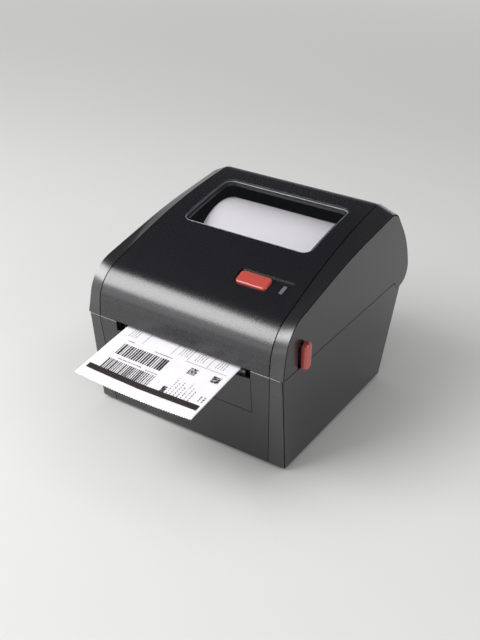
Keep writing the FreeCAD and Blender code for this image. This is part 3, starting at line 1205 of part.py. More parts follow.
# Print head: ceramic strip on a heat sink, carried by a sprung steel bracket.
head_low = strip_z + s.label_thick + s.strip_gap
head_from = s.platen_place - s.head_front
head_to = s.platen_place + s.head_rear
sink_low = head_low + s.head_thick
sink_top = sink_low + s.sink_tall
sink = block(-s.head_half, s.head_half, head_from, head_to, sink_low, sink_top)
grooves = []
for i in range(3):
    y = s.platen_place - s.fin_first + s.fin_step * i
    grooves.append(block(-s.width, s.width, y, y + s.fin_open, sink_low + s.fin_root, beyond))
shaped("head_heat_sink", sink.cut(Part.makeCompound(grooves)))
shaped("thermal_head", block(-s.head_half, s.head_half, head_from, head_to, head_low, sink_low))
bracket_half = s.head_half + s.bracket_over - s.slip_gap
bracket_top = sink_top + s.bracket_thick
bracket = block(-bracket_half, bracket_half, head_from, head_to, sink_top, bracket_top)
bracket_arm = block(bracket_half - s.bracket_thick, bracket_half, head_from, head_to, sink_top, beyond)
bracket_arm = bracket_arm.common(cover_inner)
shaped("head_bracket", fused([bracket, bracket_arm, mirrored(bracket_arm)]))
spring_y = s.platen_place + s.spring_back
spring_edge = spring_y - s.spring_radius - s.spring_wire
probe_from = Vector(s.spring_across, spring_edge, bracket_top)
probe = Part.makeLine(probe_from, Vector(s.spring_across, spring_edge, beyond))
spring_from = bracket_top + s.spring_gap + s.spring_wire
spring_to = probe.common(cover_inner).BoundBox.ZMax - s.spring_gap - s.spring_wire
springs = []
for x in (-s.spring_across, s.spring_across):
    wire_coil = coil(s.spring_radius, s.spring_wire, 6, spring_to - spring_from)
    springs.append(wire_coil.translated(Vector(x, spring_y, spring_from)))
shaped("head_springs", Part.makeCompound(springs))

doc.recompute()
for obj in doc.Objects:
    if "Invalid" in obj.State or "Error" in obj.State:
        raise RuntimeError("%s did not rebuild" % obj.Label)
os.makedirs("parts", exist_ok=True)
for obj in nodes:
    shape = obj.Shape
    if shape.isNull() or not shape.isValid():
        raise RuntimeError("%s has no valid shape" % obj.Label)
    if not shape.Solids:
        raise RuntimeError("%s has no solid" % obj.Label)
    shape.exportStep("parts/%s.step" % obj.Label)
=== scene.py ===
import json
import math

import bmesh
import bpy
from mathutils import Matrix, Vector


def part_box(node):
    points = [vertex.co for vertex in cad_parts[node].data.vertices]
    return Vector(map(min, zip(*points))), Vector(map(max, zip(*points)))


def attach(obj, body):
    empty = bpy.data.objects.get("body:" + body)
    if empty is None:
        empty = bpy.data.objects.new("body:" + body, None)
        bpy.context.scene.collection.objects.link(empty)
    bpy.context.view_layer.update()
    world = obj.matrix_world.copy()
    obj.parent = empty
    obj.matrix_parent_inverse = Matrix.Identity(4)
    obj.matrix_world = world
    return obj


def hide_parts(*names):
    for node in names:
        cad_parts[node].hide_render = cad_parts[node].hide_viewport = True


bl_info = {
    "name": "Label printer",
    "version": (1, 0, 0),
    "blender": (4, 5, 0),
    "location": "View3D > Sidebar > Label printer",
    "description": "Dresses a desktop thermal label printer and sets up its studio",
    "category": "Object",
}

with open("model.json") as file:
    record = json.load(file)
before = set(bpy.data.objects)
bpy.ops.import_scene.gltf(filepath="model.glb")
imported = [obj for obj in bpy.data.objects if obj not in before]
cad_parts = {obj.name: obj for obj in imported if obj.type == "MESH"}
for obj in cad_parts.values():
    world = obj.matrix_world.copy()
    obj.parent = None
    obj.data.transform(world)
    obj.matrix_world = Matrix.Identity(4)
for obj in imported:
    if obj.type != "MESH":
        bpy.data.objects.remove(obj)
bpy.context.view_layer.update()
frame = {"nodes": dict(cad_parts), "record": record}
MM = 0.001
# Drawing places are measured from the middle of the base; the frame's middle lies further forward.
FRAME_SHIFT = 25.5

# Edges that turn more than these angles, in degrees, stay sharp or are rounded.
SHARP_FROM = 26
ROLL_SHARP_FROM = 35
ROUND_FROM = 32

# Parts of a face's direction, out of 1, that tell the sides, bands and corners of the shell apart.
FLAT_SIDE = 0.97
BESIDE_SIDE = 0.62
CORNER_LINE = (0.61, 0.8)
FACES_FRONT = -0.4
# Distance from the middle, in m, beyond which the cheeks and the base's upright corners lie.
CHEEKS_FROM = 0.085
CORNERS_FROM = 0.086

# Indices of refraction of the two plastics.
ABS_IOR = 1.53
PC_IOR = 1.58

# Studio lamps: name, place in m, width and height in m, power in W.
LAMPS = (
    ("front_left_box", (-0.755, -0.787, 1.02), (1.12, 0.85), 26.5),
    ("front_low_box", (-0.62, -1.35, 0.36), (1.3, 0.45), 2.4),
    ("right_box", (1.3, -0.25, 0.6), (0.9, 0.9), 6.5),
)
LAMPS_AIM = (0.0, -0.05, 0.11)
FLOOR_HALF = 6.0

# The photograph's camera, fitted to the corners of the body: degrees, and mm on the drawing.
VIEW_AZIMUTH = 32.4296
VIEW_ELEVATION = 29.9125
VIEW_ROLL = 1.2888
VIEW_TARGET = (-11.773, FRAME_SHIFT, 56.9408)
VIEW_DISTANCE = 788.8988
VIEW_LENS = 52.296
VIEW_SENSOR = 36.0


def srgb(text):
    """Linear colour of an sRGB hex value."""
    channels = []
    for i in (1, 3, 5):
        c = int(text[i:i + 2], 16) / 255
        channels.append(c / 12.92 if c <= 0.04045 else ((c + 0.055) / 1.055) ** 2.4)
    return tuple(channels)


def colour(name, text, description):
    """A colour that a user may change."""
    return bpy.props.FloatVectorProperty(name=name, description=description, default=srgb(text),
                                         subtype="COLOR", min=0.0, max=1.0)


def length(name, millimetres, description):
    """A length that a user may change."""
    return bpy.props.FloatProperty(name=name, description=description, default=millimetres * MM,
                                   unit="LENGTH", precision=5, min=0.0)


class PrinterColours(bpy.types.PropertyGroup):
    """Colours of the printer's finishes."""

    charcoal: colour("Charcoal", "#202022", "Moulded base and cover cheeks")
    panel: colour("Panel", "#17171b", "Moulded top panel")
    signal_red: colour("Signal red", "#ba4e46", "Feed button and release tabs")
    light_grey: colour("Light grey", "#6a6b76", "Frosted light pipe")
    paper: colour("Paper", "#f3f0f5", "Coated label paper")
    ink: colour("Ink", "#26221f", "Thermal print")


class PrinterSizes(bpy.types.PropertyGroup):
    """Sizes of the visible details."""

    edge: length("Edge", 0.35, "Rounding of moulded edges")
    thin_edge: length("Thin edge", 0.15, "Rounding of small metal and plastic edges")
    pane_edge: length("Pane edge", 0.5, "Polished bevel around the window")
    # The cheek line is a strip of painted shade on the flat side, not a cut groove.
    cheek_line: length("Cheek line", 1.1, "Dark line along the outer edge of the cover's bands")
    cut_pitch: length("Cut pitch", 2.2, "Pitch of the torn edge of the label")
    cut_deep: length("Cut depth", 1.1, "Depth of the torn edge of the label")
    bow: length("Bow", 2.2, "Sag of the label's free end between its side edges")
    print_lift: length("Print lift", 0.05, "Print above the paper")
    winding: length("Winding", 1.1, "Spacing of the windings drawn on the roll ends")


def colours():
    """Colours in use."""
    return bpy.context.scene.printer_colours


def sizes():
    """Sizes in use."""
    return bpy.context.scene.printer_sizes


def add_node(tree, kind, settings=None, links=None):
    """Adds a node, sets its properties or input values, and links its inputs."""
    made = tree.nodes.new(kind)
    for key, value in (settings or {}).items():
        if isinstance(key, str) and hasattr(made, key):
            setattr(made, key, value)
        else:
            made.inputs[key].default_value = value
    for key, source in (links or {}).items():
        tree.links.new(source, made.inputs[key])
    return made


def new_material(name, sockets=None):
    """A node material with its shader, whose even values are given, its output and its place."""
    material = bpy.data.materials.new(name)
    material.use_nodes = True
    tree = material.node_tree
    tree.nodes.clear()
    shader = add_node(tree, "ShaderNodeBsdfPrincipled", sockets)
    add_node(tree, "ShaderNodeOutputMaterial", {}, {"Surface": shader.outputs["BSDF"]})
    add_node(tree, "ShaderNodeTexCoord")
    return material


def parts_of(material):
    """Node tree, shader and object coordinates of a material."""
    tree = material.node_tree
    place = tree.nodes["Texture Coordinate"].outputs["Object"]
    return tree, tree.nodes["Principled BSDF"], place


def link_looks(tree, shader, tint, rough, height):
    """Links a colour ramp, a roughness range and a bump to a shader."""
    tree.links.new(tint.outputs["Color"], shader.inputs["Base Color"])
    tree.links.new(rough.outputs["Result"], shader.inputs["Roughness"])
    tree.links.new(height.outputs["Normal"], shader.inputs["Normal"])


def opaque(text):
    """Linear colour of an sRGB hex value, as four numbers."""
    return srgb(text) + (1.0,)


def shade(rgb, factor):
    """A colour made lighter or darker, as four numbers."""
    return tuple(min(1.0, c * factor) for c in rgb) + (1.0,)


def mottled(name, rgb, roughness, grain, spread=0.08, bump=0.12, depth=0.05, patch=30.0,
            sockets=None):
    """A surface with a fine grain, in mm, whose colour also shifts in broad patches."""
    material = new_material(name, sockets)
    tree, shader, place = parts_of(material)
    fine = add_node(tree, "ShaderNodeTexNoise", {"Scale": 1 / (grain * MM), "Detail": 3.0},
                    {"Vector": place})
    broad = add_node(tree, "ShaderNodeTexNoise", {"Scale": 1 / (patch * MM), "Detail": 2.0},
                     {"Vector": place})
    both = add_node(tree, "ShaderNodeMath", {"operation": "MULTIPLY_ADD", 1: 0.5},
                    {0: fine.outputs["Fac"], 2: broad.outputs["Fac"]})
    tint = add_node(tree, "ShaderNodeValToRGB", {}, {"Fac": both.outputs["Value"]})
    first, last = tint.color_ramp.elements
    first.position, first.color = 0.45, shade(rgb, 1 - spread)
    last.position, last.color = 1.05, shade(rgb, 1 + spread)
    rough = add_node(tree, "ShaderNodeMapRange",
                     {"To Min": roughness - 0.05, "To Max": roughness + 0.05},
                     {"Value": fine.outputs["Fac"]})
    height = add_node(tree, "ShaderNodeBump", {"Strength": bump, "Distance": depth * MM},
                      {"Height": fine.outputs["Fac"]})
    link_looks(tree, shader, tint, rough, height)
    return material


def moulded_abs(name, rgb, roughness, grain=1.1, shine=0.75, bump=0.3):
    # ABS from a spark-eroded mould: a dull sheen broken by a fine even grain, drawn coarse
    # enough to show.
    return mottled(name, rgb, roughness, grain, spread=0.07, bump=bump, depth=0.06,
                   sockets={"IOR": ABS_IOR, "Specular IOR Level": shine})


def edge_with_painted_highlight(name, rgb, lighter):
    # Moulded edges rubbed smooth by handling, so shinier; their colour is also lifted as a painted
    # highlight, so each draws a thin bright line.
    return mottled(name, shade(rgb, lighter)[:3], 0.17, 4.0, 0.15, 0.03, 0.02, 14.0,
                   {"IOR": ABS_IOR, "Specular IOR Level": 0.75})


def clear_pc():
    # Polished clear polycarbonate: shows the roll through a faint haze, with weak flow marks
    # from moulding.
    material = new_material("polycarbonate_clear_polished",
                            {"Roughness": 0.05, "IOR": PC_IOR, "Alpha": 0.04})
    tree, shader, place = parts_of(material)
    flow = add_node(tree, "ShaderNodeTexNoise", {"Scale": 1 / (18 * MM), "Detail": 1.0},
                    {"Vector": place})
    height = add_node(tree, "ShaderNodeBump", {"Strength": 0.03, "Distance": 0.05 * MM},
                      {"Height": flow.outputs["Fac"]})
    tint = add_node(tree, "ShaderNodeValToRGB", {}, {"Fac": flow.outputs["Fac"]})
    first, last = tint.color_ramp.elements
    first.color, last.color = opaque("#46484d"), opaque("#54565b")
    tree.links.new(tint.outputs["Color"], shader.inputs["Base Color"])
    tree.links.new(height.outputs["Normal"], shader.inputs["Normal"])
    return material


def wound_paper():
    # The roll: smooth coated outside, with the rings of its windings on the ends, drawn coarser
    # than the paper is thick so that they show.
    material = mottled("thermal_paper_wound", colours().paper, 0.62, 1.0, 0.02, 0.05, 0.02, 12.0)
    tree, shader, place = parts_of(material)
    low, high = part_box("label_roll")
    axis = (low + high) / 2
    centred = add_node(tree, "ShaderNodeMapping", {"Location": (0.0, -axis.y, -axis.z)},
                       {"Vector": place})
    parts = add_node(tree, "ShaderNodeSeparateXYZ", {}, {"Vector": centred.outputs["Vector"]})
    flat = add_node(tree, "ShaderNodeCombineXYZ", {},
                    {"Y": parts.outputs["Y"], "Z": parts.outputs["Z"]})
    radius = add_node(tree, "ShaderNodeVectorMath", {"operation": "LENGTH"},
                      {0: flat.outputs["Vector"]})
    turns = add_node(tree, "ShaderNodeMath",
                     {"operation": "MULTIPLY", 1: 2 * math.pi / sizes().winding},
                     {0: radius.outputs["Value"]})
    ring = add_node(tree, "ShaderNodeMath", {"operation": "SINE"}, {0: turns.outputs["Value"]})
    tone = add_node(tree, "ShaderNodeMapRange", {"From Min": -1.0, "To Min": 0.0, "To Max": 1.0},
                    {"Value": ring.outputs["Value"]})
    tint = add_node(tree, "ShaderNodeValToRGB", {}, {"Fac": tone.outputs["Result"]})
    first, last = tint.color_ramp.elements
    first.color, last.color = shade(colours().paper, 0.8), shade(colours().paper, 1.0)
    tree.links.new(tint.outputs["Color"], shader.inputs["Base Color"])
    return material


def streaked_metal(name, text, roughness):
    # Rolled, drawn or turned metal: streaks that all run one way, drawn coarser than the marks
    # of working so that they show.
    material = new_material(name, {"Metallic": 1.0})
    tree, shader, place = parts_of(material)
    stretched = add_node(tree, "ShaderNodeMapping", {"Scale": (0.06, 1.0, 1.0)}, {"Vector": place})
    streak = add_node(tree, "ShaderNodeTexNoise", {"Scale": 1 / (0.7 * MM), "Detail": 4.0},
                      {"Vector": stretched.outputs["Vector"]})
    tint = add_node(tree, "ShaderNodeValToRGB", {}, {"Fac": streak.outputs["Fac"]})
    first, last = tint.color_ramp.elements
    first.color, last.color = shade(srgb(text), 0.86), shade(srgb(text), 1.1)
    rough = add_node(tree, "ShaderNodeMapRange",
                     {"To Min": roughness - 0.08, "To Max": roughness + 0.08},
                     {"Value": streak.outputs["Fac"]})
    height = add_node(tree, "ShaderNodeBump", {"Strength": 0.1, "Distance": 0.02 * MM},
                      {"Height": streak.outputs["Fac"]})
    link_looks(tree, shader, tint, rough, height)
    return material


def solder_mask():
    # Circuit board: green solder mask with the pale lines of the tracks below it.
    material = new_material("fr4_green_solder_mask", {"Roughness": 0.38})
    tree, shader, place = parts_of(material)
    tracks = add_node(tree, "ShaderNodeTexBrick",
                      {"Scale": 1 / (9 * MM), "Mortar Size": 0.03, "offset": 0.37,
                       "Color1": opaque("#14532f"), "Color2": opaque("#17592f"),
                       "Mortar": opaque("#3f8a58")}, {"Vector": place})
    tree.links.new(tracks.outputs["Color"], shader.inputs["Base Color"])
    return material


FINISH_MAKERS = {
    "charcoal": lambda: moulded_abs("abs_moulded_charcoal", colours().charcoal, 0.25),
    "panel": lambda: moulded_abs("abs_moulded_panel", colours().panel, 0.27),
    # The bands come from a smoother part of the mould, so their glints are brighter.
    "band": lambda: moulded_abs("abs_moulded_band", colours().charcoal, 0.29, shine=1.0, bump=0.12),
    # Edges of the charcoal, panel and red mouldings: lifted in colour as a painted highlight.
    "charcoal_edge": lambda: edge_with_painted_highlight("abs_edge_painted_highlight_charcoal", colours().charcoal, 1.25),
    "panel_edge": lambda: edge_with_painted_highlight("abs_edge_painted_highlight_panel", colours().panel, 1.25),
    "red_edge": lambda: edge_with_painted_highlight("abs_edge_painted_highlight_red", colours().signal_red, 1.2),
    # Mouldings inside and behind: plain and dull, so that they stay in the shade.
    # The ledge is darker than the charcoal around it: painted shade in the window's opening.
    "ledge": lambda: moulded_abs("abs_ledge_painted_shade", srgb("#141416"), 0.5),
    "inner": lambda: moulded_abs("abs_moulded_inner", srgb("#38383a"), 0.5),
    "holder": lambda: moulded_abs("abs_moulded_holder", srgb("#6e6e72"), 0.45),
    "socket": lambda: moulded_abs("nylon_moulded_black", srgb("#1d1d1f"), 0.45),
    # Painted shade of a fine moulded line, drawn on flat faces: near black and with no shine.
    "painted_line_shade": lambda: mottled("abs_painted_shade_line", srgb("#0b0b0c"), 0.9, 1.1, 0.1, 0.1, 0.03,
                              sockets={"Specular IOR Level": 0.05}),
    # Coloured ABS with a satin face: a soft even shine and clean colour.
    "red": lambda: mottled("abs_satin_red", colours().signal_red, 0.17, 1.2, 0.05, 0.1, 0.03,
                           sockets={"IOR": ABS_IOR, "Specular IOR Level": 0.7}),
    # Frosted polycarbonate light pipe: milky grey that glows a little at its edges.
    "lamp": lambda: mottled("polycarbonate_frosted", colours().light_grey, 0.4, 0.8,
                            0.05, 0.1, 0.03, sockets={"Subsurface Weight": 0.25, "IOR": PC_IOR,
                                                      "Subsurface Radius": (0.001, 0.001, 0.0012)}),
    "clear": clear_pc,
    # Polished bevel of the window: a light grey, nearly opaque, as a painted highlight that draws
    # a thin bright line around the pane.
    "pane_edge": lambda: mottled("polycarbonate_edge_painted_highlight", srgb("#9c9ea8"), 0.12, 3.0,
                                 0.2, 0.05, 0.02, sockets={"IOR": PC_IOR, "Alpha": 0.85}),
    # Coated thermal paper: bright, matt, with a faint cloudiness from its fibres.
    "paper": lambda: mottled("thermal_paper_coated", colours().paper, 0.62, 1.0, 0.02, 0.08, 0.02,
                             9.0, {"Specular IOR Level": 0.3}),
    "roll": wound_paper,
    # Thermal print: near-black, a little uneven where the head ran hotter or colder.
    "ink": lambda: mottled("thermal_print_black", colours().ink, 0.6, 0.6, 0.12, 0.03, 0.01, 6.0),
    # Spiral-wound card core: brown-grey with fibres and a dull face.
    "card": lambda: mottled("card_spiral_wound", srgb("#a58a6a"), 0.8, 1.4, 0.15, 0.3, 0.1, 12.0),
    # Ground silicone rubber roller: black and dull, with the fine grain of grinding.
    "platen": lambda: mottled("rubber_ground_black", srgb("#26272a"), 0.72, 0.8, 0.12, 0.25, 0.05),
    # Moulded rubber feet: matt dark grey.
    "foot": lambda: mottled("rubber_moulded_grey", srgb("#2d2d2f"), 0.8, 1.1, 0.12, 0.3, 0.08),
    "steel": lambda: streaked_metal("steel_rolled_zinc_plated", "#b9bbbe", 0.34),
    "bright": lambda: streaked_metal("steel_spring_bright", "#c9cacc", 0.26),
    "tin": lambda: streaked_metal("steel_tinned", "#c4c4c2", 0.3),
    "aluminium": lambda: streaked_metal("aluminium_extruded", "#c3c6ca", 0.38),
    "brass": lambda: streaked_metal("brass_turned", "#c3a25a", 0.3),
    # Painted steel motor can: an even black with a low sheen.
    "motor": lambda: moulded_abs("steel_painted_black", srgb("#232325"), 0.4, 1.3),
    "board": solder_mask,
    # Glazed alumina of the print head: pale, smooth and glossy.
    "ceramic": lambda: moulded_abs("alumina_glazed", srgb("#c9b9a2"), 0.25, 2.0),
    # Moulded acetal gears: off-white, waxy, slightly see-through at thin edges.
    "acetal": lambda: mottled("acetal_moulded_white", srgb("#dedbd2"), 0.36, 1.0, 0.04, 0.08, 0.03,
                              sockets={"Subsurface Weight": 0.15,
                                       "Subsurface Radius": (0.002, 0.002, 0.002)}),
}
FINISHES = {}


def finish(name):
    """A finish of the printer, made once."""
    if name not in FINISHES:
        FINISHES[name] = FINISH_MAKERS[name]()
    return FINISHES[name]


def body_of(node):
    """Name of the body that carries a node."""
    for body, members in frame["record"]["behaviour"]["bodies"].items():
        if node in members:
            return body
    raise RuntimeError("no body carries " + node)


def show(name, mesh):
    """A new object at the origin that holds a mesh."""
    piece = bpy.data.objects.new(name, mesh)
    bpy.context.scene.collection.objects.link(piece)
    return piece


def mesh_of(bm, name, *finish_names):
    """A named mesh from a working mesh, which is freed, with its finishes."""
    mesh = bpy.data.meshes.new(name)
    bm.to_mesh(mesh)
    bm.free()
    for finish_name in finish_names:
        mesh.materials.append(finish(finish_name))
    return mesh


def soften(bm, degrees):
    """Smooth faces with sharp edges where the surface turns more than an angle."""
    for face in bm.faces:
        face.smooth = True
    for edge in bm.edges:
        edge.smooth = edge.is_manifold and edge.calc_face_angle(0.0) < math.radians(degrees)


def thicken(piece, name, thickness):
    """Gives a sheet its thickness, half to each side."""
    wall = piece.modifiers.new(name, "SOLIDIFY")
    wall.thickness = thickness
    wall.offset = 0.0


def merged_copy(node):
    """The mesh of a node with its triangles joined and its flat faces made whole."""
    bm = bmesh.new()
    bm.from_mesh(frame["nodes"][node].data)
    bmesh.ops.remove_doubles(bm, verts=bm.verts, dist=0.002 * MM)
    bmesh.ops.dissolve_limit(bm, angle_limit=math.radians(0.35), verts=bm.verts, edges=bm.edges)
    return bm


def line_cheeks(bm, wide, slot):
    """Draws a line of painted shade on the cover's flat sides, along their edge to the front and
    the roof.
    """
    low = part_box("cover_frame")[0]
    # The line keeps to the front edge and to what lies above the recess of the release tab.
    front_until = low.y + 4 * MM
    above_recess = low.z + 26 * MM
    for side in (1, -1):
        flat = [face for face in bm.faces if face.normal.x * side > FLAT_SIDE
                and face.calc_center_median().x * side > CHEEKS_FROM]
        rim = bmesh.ops.inset_region(bm, faces=flat, thickness=wide, use_boundary=True,
                                     use_even_offset=True)["faces"]
        bm.normal_update()
        for face in rim:
            middle = face.calc_center_median()
            outside = middle.y < front_until or middle.z > above_recess
            beside = [other.normal for edge in face.edges for other in edge.link_faces]
            # Neither the underside nor the rear of the cover has the line.
            if outside and any(n.x * side < BESIDE_SIDE and n.z > -0.5 and n.y < 0.7
                               for n in beside):
                face.material_index = slot


def line_corners(bm, slot):
    """Draws a line of painted shade down the middle of the rounded front corners of the base."""
    for face in bm.faces:
        turned = CORNER_LINE[0] < abs(face.normal.x) < CORNER_LINE[1]
        outside = abs(face.calc_center_median().x) > CORNERS_FROM
        if turned and face.normal.y < FACES_FRONT and outside:
            face.material_index = slot


def moulding(node, piece_name, finishes, edge, lines=None):
    """A copy that stands for a node, in the first finish, with rounded edges in the second."""
    bm = merged_copy(node)
    if lines:
        lines(bm)
    soften(bm, SHARP_FROM)
    piece = show(piece_name, mesh_of(bm, piece_name, *finishes))
    if edge > 0:
        rounding = piece.modifiers.new("rounded_edges", "BEVEL")
        rounding.width = edge
        rounding.segments = 2
        rounding.limit_method = "ANGLE"
        rounding.angle_limit = math.radians(ROUND_FROM)
        rounding.harden_normals = True
        if len(finishes) > 1:
            rounding.material = 1
    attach(piece, body_of(node))
    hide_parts(node)
    return piece


def refinish_opening(piece, node, slot):
    """Gives the faces around a node that fills an opening another of the piece's finishes."""
    low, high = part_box(node)
    gap = 0.4 * MM
    for face in piece.data.polygons:
        corners = [piece.data.vertices[i].co for i in face.vertices]
        if all(low.x - gap < c.x < high.x + gap and low.y - gap < c.y < high.y + gap
               for c in corners):
            face.material_index = slot


def refinish_bands(piece, slot):
    """Gives the bands beside the panel, which face forwards and up, another finish."""
    beside_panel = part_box("top_panel")[1].x - 8 * MM
    for face in piece.data.polygons:
        outward = face.normal.z > 0.1 or face.normal.y < -0.5
        if outward and abs(face.normal.x) < CORNER_LINE[0] and abs(face.center.x) > beside_panel:
            face.material_index = slot


def dress(finish_name, *names):
    """Gives CAD nodes a finish."""
    for name in names:
        mesh = frame["nodes"][name].data
        mesh.materials.clear()
        mesh.materials.append(finish(finish_name))


def label_line():
    """Side view of the strip, from the roll to the tip: depth, height, share of free length."""
    platen_low, platen_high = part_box("platen_rubber")
    roll_low, roll_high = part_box("label_roll")
    axis = (roll_low + roll_high) / 2
    # The strip lies on the platen, bends up behind it and runs on to touch the roll from below.
    level = platen_high.z + 0.475 * MM
    guide = (platen_low.y + platen_high.y) / 2 + 12 * MM
    bend = 4 * MM
    wrap = (roll_high.z - roll_low.z) / 2 + 0.6 * MM
    reach = math.hypot(axis.y - guide, axis.z - level)
    fall = math.atan2(axis.z - level, axis.y - guide) - math.asin(wrap / reach)
    run = math.sqrt(reach ** 2 - wrap ** 2)
    line = []
    for i in range(8):
        y = guide + bend + (run * math.cos(fall) - bend) * (1 - i / 8)
        line.append((y, level + (y - guide) * math.tan(fall), 0.0))
    for i in range(7):
        t = i / 6
        z = level + bend * math.tan(fall) * (1 - t) ** 2
        line.append((guide + bend - 2 * bend * t, z, 0.0))
    # Past the front of the base it hangs free, along a cubic curve.
    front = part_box("base_shell")[0].y + 4 * MM
    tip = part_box("label_strip")[0].y + 0.1 * MM
    drop = 9.5 * MM
    for i in range(1, 5):
        line.append((guide - bend + (front - guide + bend) * i / 5, level, 0.0))
    poles = ((front, level), (front - 8 * MM, level),
             ((front + tip) / 2, level - 0.45 * drop), (tip, level - drop))
    for i in range(41):
        t = i / 40
        share = ((1 - t) ** 3, 3 * t * (1 - t) ** 2, 3 * t * t * (1 - t), t ** 3)
        y = sum(k * p[0] for k, p in zip(share, poles))
        z = sum(k * p[1] for k, p in zip(share, poles))
        line.append((y, z, t))
    return line


def label_sheet():
    """Mesh of the label strip, with its bowed free end and its torn edge."""
    low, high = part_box("label_strip")
    half = (high.x - low.x) / 2
    columns = 2 * round(2 * half / sizes().cut_pitch)
    bm = bmesh.new()
    rows = []
    line = label_line()
    for number, (y, z, free) in enumerate(line):
        row = []
        for i in range(columns + 1):
            x = -half + 2 * half * i / columns
            cut = sizes().cut_deep if number == len(line) - 1 and i % 2 else 0.0
            # The side edges rise by less than half of what the middle sags.
            sag = sizes().bow * (1 - (x / half) ** 2) * free ** 2
            row.append(bm.verts.new((x, y + cut, z - sag + sizes().bow * 0.45 * free ** 2)))
        rows.append(row)
    for here, there in zip(rows, rows[1:]):
        for i in range(columns):
            bm.faces.new((here[i], there[i], there[i + 1], here[i + 1]))
    for face in bm.faces:
        face.smooth = True
    return mesh_of(bm, "label_strip_sheet", "paper")


def bar_tree():
    """Node tree that lays a row of bars on the label and keeps them on its surface."""
    tree = bpy.data.node_groups.new("print_row", "GeometryNodeTree")
    for name, kind in (("Start", "Vector"), ("Step", "Vector"), ("Count", "Int"),
                       ("Smallest", "Vector"), ("Largest", "Vector"), ("Seed", "Int"),
                       ("Lift", "Float"), ("Label", "Object"), ("Ink", "Material")):
        tree.interface.new_socket(name, in_out="INPUT", socket_type="NodeSocket" + kind)
    tree.interface.new_socket("Print", in_out="OUTPUT", socket_type="NodeSocketGeometry")
    given = add_node(tree, "NodeGroupInput").outputs
    row = add_node(tree, "GeometryNodeMeshLine", {"mode": "OFFSET"},
                   {"Count": given["Count"], "Start Location": given["Start"],
                    "Offset": given["Step"]})
    bar = add_node(tree, "GeometryNodeMeshGrid",
                   {"Size X": MM, "Size Y": MM, "Vertices X": 3, "Vertices Y": 7})
    size = add_node(tree, "FunctionNodeRandomValue", {"data_type": "FLOAT_VECTOR"},
                    {"Min": given["Smallest"], "Max": given["Largest"], "Seed": given["Seed"]})
    bars = add_node(tree, "GeometryNodeInstanceOnPoints", {},
                    {"Points": row.outputs["Mesh"], "Instance": bar.outputs["Mesh"],
                     "Scale": size.outputs["Value"]})
    real = add_node(tree, "GeometryNodeRealizeInstances", {},
                    {"Geometry": bars.outputs["Instances"]})
    label = add_node(tree, "GeometryNodeObjectInfo", {}, {"Object": given["Label"]})
    hit = add_node(tree, "GeometryNodeRaycast",
                   {"Ray Direction": (0.0, 0.0, -1.0), "Ray Length": 0.2},
                   {"Target Geometry": label.outputs["Geometry"]})
    lift = add_node(tree, "ShaderNodeCombineXYZ", {}, {"Z": given["Lift"]})
    above = add_node(tree, "ShaderNodeVectorMath", {"operation": "ADD"},
                     {0: hit.outputs["Hit Position"], 1: lift.outputs["Vector"]})
    laid = add_node(tree, "GeometryNodeSetPosition", {},
                    {"Geometry": real.outputs["Geometry"], "Position": above.outputs["Vector"]})
    inked = add_node(tree, "GeometryNodeSetMaterial", {},
                     {"Geometry": laid.outputs["Geometry"], "Material": given["Ink"]})
    add_node(tree, "NodeGroupOutput", {}, {"Print": inked.outputs["Geometry"]})
    return tree


def print_row(tree, label, start, step, count, smallest, largest, seed):
    """Mesh of one printed row; places are in mm on the drawing."""
    above_label = 140.0
    holder = show("print_row_draft", bpy.data.meshes.new("print_row_draft"))
    row = holder.modifiers.new("print_row", "NODES")
    row.node_group = tree
    values = {
        "Start": Vector((start[0], start[1] + FRAME_SHIFT, above_label)) * MM,
        "Step": Vector(step) * MM,
        "Count": count,
        "Smallest": smallest + (1.0,),
        "Largest": largest + (1.0,),
        "Seed": seed,
        "Lift": sizes().print_lift,
        "Label": label,
        "Ink": finish("ink"),
    }
    for socket in tree.interface.items_tree:
        if socket.in_out == "INPUT":
            row[socket.identifier] = values[socket.name]
    graph = bpy.context.evaluated_depsgraph_get()
    mesh = bpy.data.meshes.new_from_object(holder.evaluated_get(graph))
    bpy.data.objects.remove(holder)
    return mesh


